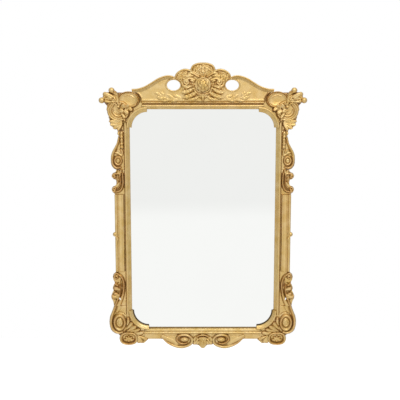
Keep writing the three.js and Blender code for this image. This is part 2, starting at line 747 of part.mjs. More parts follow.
function crestBoard() {
  const right = [[SIGHT_X - 48, CREST_FOOT], [SIGHT_X - 20, SIGHT_Y + 90]];
  for (const { x, y, out } of swanStations().reverse()) {
    right.push([x - BOARD_REVEAL * out[0], y - BOARD_REVEAL * out[1]]);
  }
  right.push(
    [SIDE_LOBE.out + SIDE_LOBE.radiusX * 0.7, SIGHT_Y + SIDE_LOBE.up + SIDE_LOBE.radiusY * 0.4],
    [SIDE_LOBE.out, SIGHT_Y + SIDE_LOBE.up + SIDE_LOBE.radiusY * 0.75],
    [MAIN_LOBE.radiusX * 0.8, SIGHT_Y + MAIN_LOBE.up + MAIN_LOBE.radiusY * 0.2],
    [MAIN_LOBE.radiusX * 0.4, SIGHT_Y + MAIN_LOBE.up + MAIN_LOBE.radiusY * 0.7]);
  const left = right.map(([x, y]) => [-x, y]).reverse();
  const board = plank(outline([...right, ...left]), FACE, CREST_FACE);
  const dish = plank(dishOutline(GLUE_LINE), CUT_LOW, CUT_HIGH);
  return cut(board, crestHole(1), crestHole(-1), dish, flipped(dish));
}

function crestMoulding() {
  const section = [
    [-CREST_MOULD_WIDTH, 0], [-CREST_MOULD_WIDTH, 3], [-0.75 * CREST_MOULD_WIDTH, 4],
    [-0.5 * CREST_MOULD_WIDTH, 0.6 * CREST_MOULD_HEIGHT],
    [-0.28 * CREST_MOULD_WIDTH, CREST_MOULD_HEIGHT], [-2, CREST_MOULD_HEIGHT], [0, 7], [0, 0],
  ];
  const run = mouldingRun(section, swanStations(), CREST_FACE + GLUE_LINE);
  return cut(run, plank(dishOutline(GLUE_LINE), CUT_LOW, CUT_HIGH), crestHole(1, 1));
}

place('crest_board', crestBoard(), GILT);
placePair('crest_moulding', crestMoulding(), GILT);

const CARTOUCHE_BODY = [[50, 214], [116, 168], [114, 128], [104, 104], [92, 80], [58, 60], [22, 48]];
const cartoucheBase = CREST_FACE + GLUE_LINE;
const cartoucheFace = cartoucheBase + CARTOUCHE_GROUND;
const aboveSight = ([x, up]) => [x, SIGHT_Y + up];

function shellLobe() {
  const hinge = aboveSight([0, MAIN_LOBE.up - 30]);
  return fan({
    x: hinge[0], y: hinge[1], from: 0.14 * Math.PI, to: 0.86 * Math.PI, spokes: 12, rings: 2,
    radius: (angle, column) => (column % 2 ? 58 : 54) + 6 * Math.abs(Math.cos(angle)),
    height: (fraction, angle, column) => 5 + 9 * fraction + (column % 2 ? 4 * fraction : 0),
    base: cartoucheFace - 1,
  });
}

function lobeScroll(side) {
  const points = scrollPoints({
    x: SIDE_LOBE.out, y: SIGHT_Y + SIDE_LOBE.up, radiusX: SIDE_LOBE.radiusX - 7,
    radiusY: SIDE_LOBE.radiusY - 7, start: 0.8 * Math.PI, turns: 1.35, eye: 0.3, hand: -1,
  }).map(([x, y]) => [side * x, y]);
  return strap(points, taper(13, 8), taper(12, 9), cartoucheFace - 1, 13);
}

// A festoon of overlapping husks hung under the flower, with a drop in the middle.
const FESTOON = { reach: 80, top: 126, low: 82, husks: 4, width: 24, height: 13 };

function festoon() {
  const curve = new THREE.QuadraticBezierCurve(...[
    [FESTOON.reach, FESTOON.top], [0.8 * FESTOON.reach, FESTOON.low], [4, FESTOON.low],
  ].map((point) => new THREE.Vector2(...aboveSight(point))));
  const husk = (root, tip) => leaf({
    root, tip, width: FESTOON.width, height: FESTOON.height, lobes: 1, base: cartoucheFace - 1,
  });
  const husks = [];
  for (let i = 0; i < FESTOON.husks; i++) {
    const [from, to] = [i, i + 1.15].map((at) => curve.getPointAt(Math.min(1, at / FESTOON.husks)));
    husks.push(husk([from.x, from.y], [to.x, to.y]));
  }
  const half = join(...husks);
  const drop = husk(aboveSight([0, FESTOON.low + 8]), aboveSight([0, FESTOON.low - 34]));
  return join(half, flipped(half), drop);
}

const ROSETTE = { up: 130, radius: 34, petals: 6, height: 18 };

function cartouche() {
  const body = [...CARTOUCHE_BODY, ...CARTOUCHE_BODY.map(([x, up]) => [-x, up]).reverse()];
  const level = (shape) => plank(shape, cartoucheBase, cartoucheFace);
  const ground = join(
    level(outline(body.map(aboveSight))),
    level(ellipse(0, SIGHT_Y + MAIN_LOBE.up, MAIN_LOBE.radiusX, MAIN_LOBE.radiusY)),
    level(ellipse(SIDE_LOBE.out, SIGHT_Y + SIDE_LOBE.up, SIDE_LOBE.radiusX, SIDE_LOBE.radiusY)),
    level(ellipse(-SIDE_LOBE.out, SIGHT_Y + SIDE_LOBE.up, SIDE_LOBE.radiusX, SIDE_LOBE.radiusY)));
  const carved = carve(ground, shellLobe(), lobeScroll(1), lobeScroll(-1), festoon());
  const rosetteSeat = plank(ellipse(0, SIGHT_Y + ROSETTE.up, ROSETTE.radius + 1, ROSETTE.radius + 1),
    cartoucheFace, CUT_HIGH);
  return cut(carved, rosetteSeat, crestHole(1), crestHole(-1));
}

function rosette() {
  const y = SIGHT_Y + ROSETTE.up;
  const base = cartoucheFace + GLUE_LINE;
  const flower = fan({
    x: 0, y, from: 0, to: 2 * Math.PI, spokes: 4 * ROSETTE.petals, rings: 2,
    radius: (angle) => ROSETTE.radius * (0.82 + 0.18 * Math.abs(Math.cos(angle * ROSETTE.petals / 2))),
    height: (fraction, angle) => ROSETTE.height * (0.35 + 0.45 * fraction)
      * (0.75 + 0.25 * Math.abs(Math.cos(angle * ROSETTE.petals / 2)) * fraction),
    base,
  });
  return join(flower, boss(0, y, 11, 11, base + 4, ROSETTE.height));
}

// Low leaves trailing along the foot of the crest panel.
function crestLeaf() {
  const base = cartoucheBase;
  const stem = strap([[104, 56], [140, 60], [180, 58], [216, 68]].map(aboveSight),
    taper(9, 6), taper(7, 5), base, 8, 3);
  const leaves = [
    { root: [112, 57], tip: [160, 82], bend: 8, width: 24 },
    { root: [150, 58], tip: [196, 47], bend: -4, width: 16 },
    { root: [204, 64], tip: [262, 82], bend: 8, width: 26 },
    { root: [208, 66], tip: [232, 96], bend: 4, width: 18 },
  ].map(({ root, tip, ...rest }) => leaf({
    root: aboveSight(root), tip: aboveSight(tip), height: 7, lobes: 1, base, ...rest,
  }));
  return cut(carve(stem, ...leaves), crestHole(1, 4));
}

place('crest_cartouche', cartouche(), GILT);
place('crest_rosette', rosette(), GILT);
placePair('crest_leaf', crestLeaf(), GILT);

// ---------------------------------------------------------------------------
// Upper corners: a shell dish and a rolled disc tied by an acanthus spray
// ---------------------------------------------------------------------------

const cornerFace = FACE + CARTOUCHE_GROUND;
const SPRAY_HEART = { out: 52, down: -14, radius: 17 };
const SPRAY = [
  { tip: [98, -100], bend: 8, width: 48, lobes: 1, curl: 18 },
  { tip: [138, -80], bend: 3, width: 46, lobes: 1, curl: 20 },
  { tip: [149, -54], bend: -4, width: 40, lobes: 1, curl: 15 },
  { tip: [4, 28], bend: 6, width: 36, lobes: 1 },
  { tip: [22, 60], bend: -4, width: 34, lobes: 1 },
];
const CURL_RISE = 8;

// Leaves spring from a bud; the outer ones roll over into a knob at the tip.
function sprayLeaves(base, height, grow) {
  const heart = upperRight([SPRAY_HEART.out, SPRAY_HEART.down]);
  const leaves = SPRAY.map(({ tip, curl, ...rest }) => leaf({
    root: heart, tip: upperRight(tip), height, base, grow, ...rest,
  }));
  const knobs = SPRAY.filter(({ curl }) => curl).map(({ tip, curl }) =>
    boss(...upperRight(tip), curl + grow, curl + grow, base, height + CURL_RISE));
  const radius = SPRAY_HEART.radius + grow;
  return join(...leaves, ...knobs, boss(...heart, radius, radius, base, height * 1.3));
}

function cornerCartouche() {
  const [dishX, dishY] = upperRight([DISH.out, DISH.down]);
  const [discX, discY] = upperRight([DISC.out, DISC.down]);
  const mouldEdge = SIDE_MOULD_X + GLUE_LINE - SIGHT_X;
  const scribeEnd = SIGHT_Y - runY - GLUE_LINE;
  const runEnd = runX - SIGHT_X + GLUE_LINE;
  const spandrel = [
    [runEnd, SIGHT_Y - TOP_MOULD_Y], [DISH.out - 50, SIGHT_Y - TOP_MOULD_Y], [DISH.out, DISH.down],
    [DISC.out, DISC.down], [DISC.out + 20, DISC.down + 86], [mouldEdge, 104], [mouldEdge, scribeEnd],
    [mouldEdge - 24, scribeEnd], [runEnd, -12],
  ].map(upperRight);
  const level = (shape) => plank(shape, FACE, cornerFace);
  const ground = join(level(outline(spandrel)), level(dishOutline(0)),
    level(ellipse(discX, discY, DISC.radius, DISC.radius)));
  const dish = turned([
    [0, 0], [0.97, 0], [0.97, 7], [0.88, 12], [0.74, 5], [0, 9],
  ], dishX, dishY, DISH.radiusX, DISH.radiusY, cornerFace - 1);
  const disc = turned([
    [0, 0], [0.97, 0], [0.97, 11], [0.86, 18], [0.7, 10], [0.56, 13], [0, 11],
  ], discX, discY, DISC.radius, DISC.radius, cornerFace - 1);
  const curled = [
    { root: [70, 68], tip: [118, 66], bend: -8, width: 30 },
    { root: [60, 76], tip: [92, 108], bend: 6, width: 30 },
  ].map(({ root, tip, bend, width }) => leaf({
    root: upperRight(root), tip: upperRight(tip), bend, width, height: 22, lobes: 1, base: FACE,
  }));
  const carved = join(ground, dish, disc, ...curled);
  return cut(carved, cornerScribe(1, 1), sprayLeaves(cornerFace, CUT_HIGH, GLUE_LINE),
    bar(0, SIDE_MOULD_X + GLUE_LINE, 0, SIGHT_Y - scribeEnd, CUT_LOW, CUT_HIGH));
}

placePair('corner_cartouche', cornerCartouche(), GILT);
placePair('corner_spray', cut(sprayLeaves(cornerFace + GLUE_LINE, 26, 0),
  cornerScribe(1, 1)), GILT);

// ---------------------------------------------------------------------------
// Side carving, top to bottom: husk drop, volute, C-scroll; C-scroll, volute
// ---------------------------------------------------------------------------

const carvedFace = FACE + CARVED_GROUND;
const inner = SIDE_MOULD_X + GLUE_LINE - SIGHT_X;
const HUSK_TOP = 112;
const HUSK_FOOT = 212;
const HUSK_COUNT = 4;
const VOLUTE_FOOT = 325;

const ground = (points, anchor, top = carvedFace) => plank(outline(points.map(anchor)), FACE, top);

function huskDrop() {
  const pitch = (HUSK_FOOT - HUSK_TOP - 2) / HUSK_COUNT;
  const middle = inner + 11;
  const backing = ground([
    [inner, HUSK_TOP], [inner + 34, HUSK_TOP], [inner + 29, 140], [inner + 21, 152],
    [inner + 19, HUSK_FOOT], [inner, HUSK_FOOT],
  ], upperRight, FACE + 8);
  const husks = [];
  for (let i = 0; i < HUSK_COUNT; i++) {
    const top = HUSK_TOP + 1 + i * pitch;
    husks.push(leaf({
      root: upperRight([middle, top]), tip: upperRight([middle, top + pitch]),
      width: 20 - 2 * i, height: 12, lobes: 1, base: FACE + 7,
    }));
  }
  return carve(backing, ...husks);
}

const UPPER_VOLUTE = {
  out: 66, down: 283, radiusX: 32, radiusY: 35, start: 0.14, turns: 1.6,
  lead: [[62, 158], [66, 182], [76, 207], [88, 232]],
};

function upperVolute() {
  const { out, down, radiusX, radiusY, start, turns, lead } = UPPER_VOLUTE;
  const [x, y] = upperRight([out, down]);
  const backing = ground([
    [inner + 29.3, 141], [68, 179], [79, 200], [92, 222], [99, 244], [102, 266], [102, 288],
    [98, 304], [88, 319], [77, VOLUTE_FOOT], [inner, VOLUTE_FOOT], [inner, HUSK_FOOT + GLUE_LINE],
    [inner + 19.3, HUSK_FOOT + GLUE_LINE], [inner + 21.3, 152.3],
  ], upperRight, FACE + 8);
  const winding = scrollPoints({
    x, y, radiusX, radiusY, start: start * Math.PI, turns, eye: 0.22, hand: -1,
  });
  const band = strap([...lead.map(upperRight), ...winding], taper(15, 8), taper(18, 22), FACE + 7, 17);
  return carve(backing, band, boss(x, y, 8, 8, FACE + 7, 26));
}

const UPPER_CURL = { out: 88, down: STRIP_DOWN - 21, radius: 14 };
const curlFoot = STRIP_DOWN - GLUE_LINE;

function upperCScroll() {
  const [x, y] = upperRight([UPPER_CURL.out, UPPER_CURL.down]);
  const top = VOLUTE_FOOT + GLUE_LINE;
  const backing = ground([
    [inner, top], [76, top], [86, 338], [96, 350], [96, 372], [84, 390], [78, 408], [88, 424],
    [101, UPPER_CURL.down - 5], [101, UPPER_CURL.down + 9], [90, curlFoot], [inner, curlFoot],
  ], upperRight, FACE + 8);
  const winding = scrollPoints({
    x, y, radiusX: UPPER_CURL.radius, radiusY: UPPER_CURL.radius, start: -0.6 * Math.PI,
    turns: 1.1, eye: 0.35, hand: 1,
  });
  const stem = [[44, top + 6], [42, 365], [43, 395], [54, 430], [68, 448]].map(upperRight);
  const band = strap([...stem, ...winding], taper(12, 8), taper(16, 18), FACE + 7, 17);
  const curledLeaf = leaf({
    root: upperRight([50, 396]), tip: upperRight([98, 348]), bend: -10, width: 26, height: 18,
    lobes: 2, base: FACE + 7,
  });
  return carve(backing, band, curledLeaf, boss(x, y, 6, 6, FACE + 7, 18));
}

placePair('husk_drop', huskDrop(), GILT);
placePair('upper_volute', upperVolute(), GILT);
placePair('upper_c_scroll', upperCScroll(), GILT);

const LOWER_CURL = { out: 77, up: 270, radius: 22 };
const LOWER_SPLIT = 120;
const PIERCING = { out: 66, up: 160, radiusX: 5.5, radiusY: 8 };
const lowerTop = STRIP_UP - GLUE_LINE;

function lowerCScroll() {
  const [x, y] = lowerRight([LOWER_CURL.out, LOWER_CURL.up]);
  const backing = ground([
    [inner, lowerTop], [66, lowerTop], [84, 300], [98, 290], [102, 273], [98, 248], [101, 230],
    [98, 205], [106, 188], [110, 168], [104, 146], [101, LOWER_SPLIT + GLUE_LINE],
    [inner, LOWER_SPLIT + GLUE_LINE],
  ], lowerRight, FACE + 8);
  const winding = scrollPoints({
    x, y, radiusX: LOWER_CURL.radius, radiusY: LOWER_CURL.radius, start: 0.95 * Math.PI,
    turns: 1.2, eye: 0.3, hand: -1,
  });
  const stem = [[84, 126], [62, 138], [48, 165], [45, 200], [48, 240]].map(lowerRight);
  const band = strap([...stem, ...winding], taper(11, 9), taper(16, 18), FACE + 7, 16);
  const leaves = [
    { root: [52, 196], tip: [105, 224], bend: 12, width: 26 },
    { root: [84, 132], tip: [100, 188], bend: -6, width: 30 },
  ].map(({ root, tip, ...rest }) => leaf({
    root: lowerRight(root), tip: lowerRight(tip), height: 20, lobes: 1, base: FACE + 7, ...rest,
  }));
  const [holeX, holeY] = lowerRight([PIERCING.out, PIERCING.up]);
  return cut(carve(backing, band, ...leaves, boss(x, y, 7, 7, FACE + 7, 20)),
    plank(ellipse(holeX, holeY, PIERCING.radiusX, PIERCING.radiusY), CUT_LOW, CUT_HIGH, 5));
}

const LOWER_VOLUTE = {
  out: 82, up: 13, radiusX: 39, radiusY: 48, start: 0.24, turns: 1.6,
  lead: [[96, 114], [102, 98], [110, 80]],
};
const PATERA = { out: 19, up: -67, radiusX: 50, radiusY: 37 };

function pateraOutline(clearance) {
  const [x, y] = lowerRight([PATERA.out, PATERA.up]);
  return ellipse(x, y, PATERA.radiusX + clearance, PATERA.radiusY + clearance);
}

function lowerVolute() {
  const { out, up, radiusX, radiusY, start, turns, lead } = LOWER_VOLUTE;
  const [x, y] = lowerRight([out, up]);
  const backing = ground([
    [inner, LOWER_SPLIT], [102, LOWER_SPLIT], [105, 103], [114, 85], [123, 62], [127, 39],
    [126, 16], [122, -1], [115, -18], [105, -31], [86, -41], [60, -44], [42, -36], [inner, -14],
  ], lowerRight, FACE + 10);
  const winding = scrollPoints({
    x, y, radiusX, radiusY, start: start * Math.PI, turns, eye: 0.22, hand: -1, perTurn: 11,
  });
  const band = strap([...lead.map(lowerRight), ...winding], taper(17, 9), taper(20, 24), FACE + 9, 17);
  return cut(carve(backing, band, boss(x, y, 8, 13, FACE + 9, 26)),
    plank(pateraOutline(GLUE_LINE), CUT_LOW, CUT_HIGH));
}

placePair('lower_c_scroll', lowerCScroll(), GILT);
placePair('lower_volute', lowerVolute(), GILT);

// ---------------------------------------------------------------------------
// Lower corners: oval patera with a shell, and the leaf that fills the spandrel
// ---------------------------------------------------------------------------

function patera() {
  const [x, y] = lowerRight([PATERA.out, PATERA.up]);
  const dish = turned([
    [0, 0], [1, 0], [1, 20], [0.94, 27], [0.84, 28], [0.76, 20], [0.62, 14], [0, 12],
  ], x, y, PATERA.radiusX, PATERA.radiusY, FACE);
  const shell = fan({
    x, y: y - 0.5 * PATERA.radiusY, from: 0.12 * Math.PI, to: 0.88 * Math.PI, spokes: 10, rings: 2,
    radius: (angle, column) => (column % 2 ? 30 : 26),
    height: (fraction, angle, column) => 12 - 5 * fraction + (column % 2 ? 3 : 0),
    base: FACE + 11,
  });
  return join(dish, shell);
}

function cornerLeafBottom() {
  const runEnd = runX - SIGHT_X + GLUE_LINE;
  const scribeEnd = SIGHT_Y - runY - GLUE_LINE;
  const edge = inner - 2 * GLUE_LINE;
  const backing = ground([
    [edge, scribeEnd], [edge, -24], [0, -40], [-36, -70], [-50, -92], [runEnd, -90],
    [runEnd, -12], [edge - 22, scribeEnd],
  ], lowerRight);
  const leaves = [
    { root: [14, -14], tip: [-52, -42], bend: 8, width: 30 },
    { root: [14, -8], tip: [22, 50], bend: 4, width: 20 },
    { root: [-34, -48], tip: [-60, -88], bend: -6, width: 26 },
  ].map(({ root, tip, ...rest }) => leaf({
    root: lowerRight(root), tip: lowerRight(tip), height: 18, lobes: 1, base: carvedFace - 1, ...rest,
  }));
  const [budX, budY] = lowerRight([12, -6]);
  return cut(carve(backing, ...leaves, boss(budX, budY, 11, 14, carvedFace - 1, 20)),
    cornerScribe(1, -1), plank(pateraOutline(GLUE_LINE), CUT_LOW, CUT_HIGH),
    bar(SIDE_MOULD_X, SIGHT_X * 2, -SIGHT_Y * 2, SIGHT_Y, CUT_LOW, CUT_HIGH),
    bar(0, runX + GLUE_LINE, -SIGHT_Y * 2, SIGHT_Y, CUT_LOW, CUT_HIGH));
}

placePair('corner_patera', patera(), GILT);
placePair('corner_leaf_bottom', cornerLeafBottom(), GILT);

// ---------------------------------------------------------------------------
// Apron: two C-scrolls and a shell bud planted on the base band
// ---------------------------------------------------------------------------

const apronBase = FACE + BASE_BAND_HEIGHT + GLUE_LINE;
const APRON_SCROLL = {
  out: 110, down: 78, radiusX: 44, radiusY: 41, start: -0.53, turns: 1.5,
  lead: [[226, 73], [204, 89], [180, 103], [150, 114]],
};
const belowSight = ([x, down]) => [x, -SIGHT_Y - down];

function apronScroll() {
  const { out, down, radiusX, radiusY, start, turns, lead } = APRON_SCROLL;
  const [x, y] = belowSight([out, down]);
  const backing = plank(outline([
    [234, 64], [228, 74], [205, 92], [180, 108], [158, 119], [110, 122], [84, 117], [68, 104],
    [62, 84], [68, 58], [84, 44], [108, 40], [136, 44], [154, 60], [170, 68],
  ].map(belowSight)), apronBase, apronBase + 8);
  const winding = scrollPoints({
    x, y, radiusX, radiusY, start: start * Math.PI, turns, eye: 0.24, hand: -1, perTurn: 11,
  });
  const band = strap([...lead.map(belowSight), ...winding], taper(15, 9), taper(15, 18), apronBase + 7, 17);
  return carve(backing, band, boss(x, y, 12, 7, apronBase + 7, 20));
}

function apronShell() {
  const backing = plank(outline([
    [-44, 46], [-52, 80], [-52, 102], [-26, 102], [-14, 116], [14, 116], [26, 102], [52, 102],
    [52, 80], [44, 46],
  ].map(belowSight)), apronBase, apronBase + 6);
  const hood = fan({
    x: 0, y: -SIGHT_Y - 84, from: 0.16 * Math.PI, to: 0.84 * Math.PI, spokes: 12, rings: 2,
    radius: (angle, column) => (column % 2 ? 42 : 38),
    height: (fraction, angle, column) => 8 + 4 * fraction + (column % 2 ? 3 * fraction : 0),
    base: apronBase + 5,
  });
  const budLeaf = leaf({
    root: belowSight([0, 54]), tip: belowSight([0, 125]), width: 42, height: 22, lobes: 1,
    base: apronBase + 5,
  });
  const petals = [-1, 1].map((side) => leaf({
    root: belowSight([side * 24, 62]), tip: belowSight([side * 52, 107]), bend: side * -4, width: 18,
    height: 14, lobes: 1, base: apronBase + 5,
  }));
  return carve(backing, hood, budLeaf, ...petals);
}

placePair('apron_scroll', apronScroll(), GILT);
place('apron_shell', apronShell(), GILT);

// ---------------------------------------------------------------------------
// Hangers: a steel strap and a D-ring either side on the back of the top rail
// ---------------------------------------------------------------------------

const knuckleRadius = RING_WIRE / 2 + RING_PLAY + KNUCKLE_WALL;
const ringDepth = GLUE_LINE + STRAP_THICKNESS + RING_WIRE / 2 + RING_STANDOFF;
const strapFoot = BACK_Y + STRAP_MARGIN;
const ringHeight = strapFoot + STRAP_LENGTH;

function rod(radius, length, segments) {
  const geometry = new THREE.CylinderGeometry(radius, radius, length, segments);
  geometry.rotateZ(Math.PI / 2);
  geometry.translate(HANGER_OUT, ringHeight, -ringDepth);
  return toSolid(geometry);
}

function hangerStrap() {
  const half = STRAP_WIDTH / 2;
  const plate = bar(HANGER_OUT - half, HANGER_OUT + half, strapFoot, ringHeight - 1,
    -GLUE_LINE - STRAP_THICKNESS, -GLUE_LINE);
  const neck = bar(HANGER_OUT - KNUCKLE_LENGTH / 2, HANGER_OUT + KNUCKLE_LENGTH / 2,
    ringHeight - knuckleRadius, ringHeight, -ringDepth, -GLUE_LINE);
  return cut(join(plate, neck, rod(knuckleRadius, KNUCKLE_LENGTH, 16)),
    rod(RING_WIRE / 2 + RING_PLAY, KNUCKLE_LENGTH + 20, 16));
}

// A D of round wire: straight bar through the knuckle, bow hanging below it.
function hangerRing() {
  const half = RING_WIDTH / 2;
  const path = new THREE.Path();
  path.moveTo(0, 0);
  path.lineTo(half - RING_CORNER, 0);
  path.absarc(half - RING_CORNER, -RING_CORNER, RING_CORNER, Math.PI / 2, 0, true);
  path.absellipse(0, -RING_CORNER, half, RING_DROP - RING_CORNER, 0, -Math.PI, true);
  path.absarc(-half + RING_CORNER, -RING_CORNER, RING_CORNER, Math.PI, Math.PI / 2, true);
  path.lineTo(0, 0);
  const points = path.getPoints(3);
  const route = points.filter((point, i) => i === 0 || point.distanceTo(points[i - 1]) > 0.5);
  if (route[0].distanceTo(route[route.length - 1]) < 0.5) route.pop();
  const sides = 6;
  const corners = [];
  const faces = [];
  route.forEach((point, i) => {
    const before = route[(i + route.length - 1) % route.length];
    const after = route[(i + 1) % route.length];
    const ahead = after.clone().sub(before).normalize();
    for (let side = 0; side < sides; side++) {
      const angle = ((side + 0.5) / sides) * 2 * Math.PI;
      const across = (RING_WIRE / 2) * Math.cos(angle);
      corners.push([
        HANGER_OUT + point.x - ahead.y * across, ringHeight + point.y + ahead.x * across,
        -ringDepth + (RING_WIRE / 2) * Math.sin(angle)]);
      const next = (side + 1) % sides;
      const here = i * sides;
      const there = ((i + 1) % route.length) * sides;
      faces.push([here + side, here + next, there + next], [here + side, there + next, there + side]);
    }
  });
  return closedSurface(corners, faces);
}

placePair('hanger_strap', hangerStrap(), STEEL);
placePair('hanger_ring', hangerRing(), STEEL);

bench.rotation.x = Math.PI / 2;
const mirror = new THREE.Group();
mirror.add(bench);

export default mirror;
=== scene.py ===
# %% [markdown]
# # A carved and gilded overmantel mirror
#
# The real frame is a pine carcass. Carved pine ornament is planted on it, coated with gesso, painted with
# clay bole and laid with gold leaf. The carcass, plate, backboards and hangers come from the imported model;
# this lesson makes the carving, the mouldings and every surface finish around them.

import math

import bmesh
import bpy
import numpy as np
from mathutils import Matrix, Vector


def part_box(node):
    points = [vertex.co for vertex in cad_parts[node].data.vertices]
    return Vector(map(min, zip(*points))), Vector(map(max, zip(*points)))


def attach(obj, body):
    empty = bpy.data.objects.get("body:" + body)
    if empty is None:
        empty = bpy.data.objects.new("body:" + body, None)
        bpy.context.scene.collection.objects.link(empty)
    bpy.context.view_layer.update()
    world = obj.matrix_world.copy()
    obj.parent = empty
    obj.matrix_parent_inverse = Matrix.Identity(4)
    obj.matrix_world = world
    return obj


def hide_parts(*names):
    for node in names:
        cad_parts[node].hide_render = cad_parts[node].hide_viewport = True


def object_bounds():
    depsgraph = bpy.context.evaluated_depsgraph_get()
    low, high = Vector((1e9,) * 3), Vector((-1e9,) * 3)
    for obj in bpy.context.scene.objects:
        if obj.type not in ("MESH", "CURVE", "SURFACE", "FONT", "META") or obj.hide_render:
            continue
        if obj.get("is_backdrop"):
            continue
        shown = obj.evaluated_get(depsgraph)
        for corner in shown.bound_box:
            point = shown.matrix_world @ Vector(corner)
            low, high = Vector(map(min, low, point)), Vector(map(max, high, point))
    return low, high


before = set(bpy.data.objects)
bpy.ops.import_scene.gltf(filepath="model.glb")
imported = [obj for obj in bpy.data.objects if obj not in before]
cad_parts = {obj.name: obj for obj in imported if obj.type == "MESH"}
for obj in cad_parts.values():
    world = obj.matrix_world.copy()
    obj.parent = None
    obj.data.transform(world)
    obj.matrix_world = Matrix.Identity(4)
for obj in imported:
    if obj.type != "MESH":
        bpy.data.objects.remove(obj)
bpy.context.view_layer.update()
MM = 0.001

# %% [markdown]
# The photograph was taken square on, from a little above the middle. The camera stands 3.6 m away and 7 degrees
# above the point it looks at, with a 58 mm lens on a 36 mm sensor, so the frame narrows by a hair towards its foot.

# %% Camera
LOOK_AT = Vector((-0.0156, 0.0, 0.1102))
CAMERA_DISTANCE = 3.6
CAMERA_ELEVATION = math.radians(7.16)
SENSOR_WIDTH = 36.0
LENS = 58.25

camera_data = bpy.data.cameras.new("camera")
camera_data.sensor_width = SENSOR_WIDTH
camera_data.lens = LENS
camera = bpy.data.objects.new("camera", camera_data)
camera.location = LOOK_AT + CAMERA_DISTANCE * Vector((0.0, -math.cos(CAMERA_ELEVATION), math.sin(CAMERA_ELEVATION)))
camera.rotation_euler = (math.pi / 2 - CAMERA_ELEVATION, 0.0, 0.0)
bpy.context.scene.collection.objects.link(camera)
bpy.context.scene.camera = camera
print("camera at", [round(value, 3) for value in camera.location])

# %% [markdown]
# Carving is drawn the way a carver draws it on the block: lines with a width and a section. A line is put
# through a few points, and each point of the block then knows how far it lies from that line, on which side,
# and how far along.

# %% Drawn lines
def flipped(hand, points):
    """Points drawn for the right side, turned over to the left one when hand is -1."""
    return [(hand * x, z) for x, z in points]


def drawn(points, closed=False, spacing=3.0):
    """A smooth line through drawn points, with a corner every few millimetres."""
    p = np.array(points, float)
    if closed:
        p = np.vstack([p[-1:], p, p[:2]])
    else:
        p = np.vstack([2 * p[:1] - p[1:2], p, 2 * p[-1:] - p[-2:-1]])
    t = np.linspace(0, 1, 10, endpoint=False)[:, None]
    spans = []
    for a, b, c, d in zip(p[:-3], p[1:-2], p[2:-1], p[3:]):
        spans.append(0.5 * (2 * b + (c - a) * t + (2 * a - 5 * b + 4 * c - d) * t**2
                            + (3 * b - a - 3 * c + d) * t**3))
    fine = np.vstack(spans + [p[-2:-1]])
    reach = np.concatenate([[0], np.cumsum(np.hypot(*np.diff(fine, axis=0).T))])
    count = max(4, int(reach[-1] / spacing) + 1)
    even = np.linspace(0, reach[-1], count)
    return np.column_stack([np.interp(even, reach, fine[:, 0]), np.interp(even, reach, fine[:, 1])])


def nearest(line, x, z):
    """For each point: its distance from the line, the side it lies on, and the place along the line from 0 to 1."""
    best = np.full(x.shape, 1e9)
    side = np.zeros(x.shape)
    place = np.zeros(x.shape)
    walked = 0.0
    for (ax, az), (bx, bz) in zip(line[:-1], line[1:]):
        dx, dz = bx - ax, bz - az
        length = math.hypot(dx, dz) or 1e-9
        t = np.clip(((x - ax) * dx + (z - az) * dz) / length**2, 0, 1)
        ex, ez = x - ax - t * dx, z - az - t * dz
        distance = np.hypot(ex, ez)
        closer = distance < best
        best = np.where(closer, distance, best)
        side = np.where(closer, np.sign(dx * ez - dz * ex), side)
        place = np.where(closer, walked + t * length, place)
        walked += length
    return best, side, place / walked


def spiral(centre, radii, start, turns, eye, hand, lead=()):
    """Points of a scroll that winds in to its eye, after the lead that runs up to it. Hand -1 is clockwise."""
    count = int(turns * 14)
    points = list(lead)
    for i in range(count + 1):
        t = i / count
        angle = math.radians(start) + hand * t * turns * 2 * math.pi
        shrink = 1 - (1 - eye) * t
        points.append((centre[0] + math.cos(angle) * radii[0] * shrink,
                       centre[1] + math.sin(angle) * radii[1] * shrink))
    return points


print("a test arc has", len(drawn([(0, 0), (50, 30), (100, 0)])), "points")

# %% [markdown]
# A carved member has a section. Three do for this frame: a plain round, the band of a scroll with a shallow
# hollow between its edges, and a leaf with a sunk midrib and pipes between its lobes.
# Each takes u, from -1 to 1 across the member, and t, from 0 to 1 along it.

# %% Sections
def round_section(u, t):
    return np.sqrt(np.clip(1 - u**2, 0, 1))


def band_section(u, t):
    a = np.abs(u)
    edge = np.sqrt(np.clip(1 - np.clip((a - 0.72) / 0.28, 0, 1) ** 2, 0, 1))
    return edge * (0.84 + 0.16 * np.sin(np.clip(a / 0.72, 0, 1) * math.pi / 2) ** 3)


def leaf_section(lobes):
    def section(u, t):
        a = np.abs(u)
        body = np.clip(1 - a**2.4, 0, 1) ** 0.55
        midrib = 0.3 * np.exp(-((u / 0.13) ** 2)) * (1 - 0.5 * t)
        pipes = 0.16 * np.cos(2 * math.pi * (lobes * t - 0.5 * lobes * 0.28 * a)) * np.clip(a * 3, 0, 1)
        return np.clip(body * (0.84 + pipes) - midrib * body, 0, 1.1)
    return section


LEAF_WIDEST = 0.5


def leaf_outline(width, lobes, pointed):
    """Half width of a leaf along its length: swelling from the root, lobed, closing to its tip."""
    def half(t):
        grow = 0.35 + 0.65 * np.sin(np.clip(t / LEAF_WIDEST, 0, 1) * math.pi / 2)
        fall = np.clip((t - LEAF_WIDEST) / (1 - LEAF_WIDEST), 0, 1)
        close = np.sqrt(np.clip(1 - fall**2, 0, 1)) * (1 - pointed) + (1 - fall**1.6) * pointed
        scallop = 1 - 0.2 * (0.5 - 0.5 * np.cos(2 * math.pi * lobes * t)) * (1 - 0.6 * fall)
        return width / 2 * grow * close * scallop
    return half


print("band of a scroll, height at its middle and near its edge:",
      [round(float(band_section(u, 0)), 2) for u in (0, 0.7)])

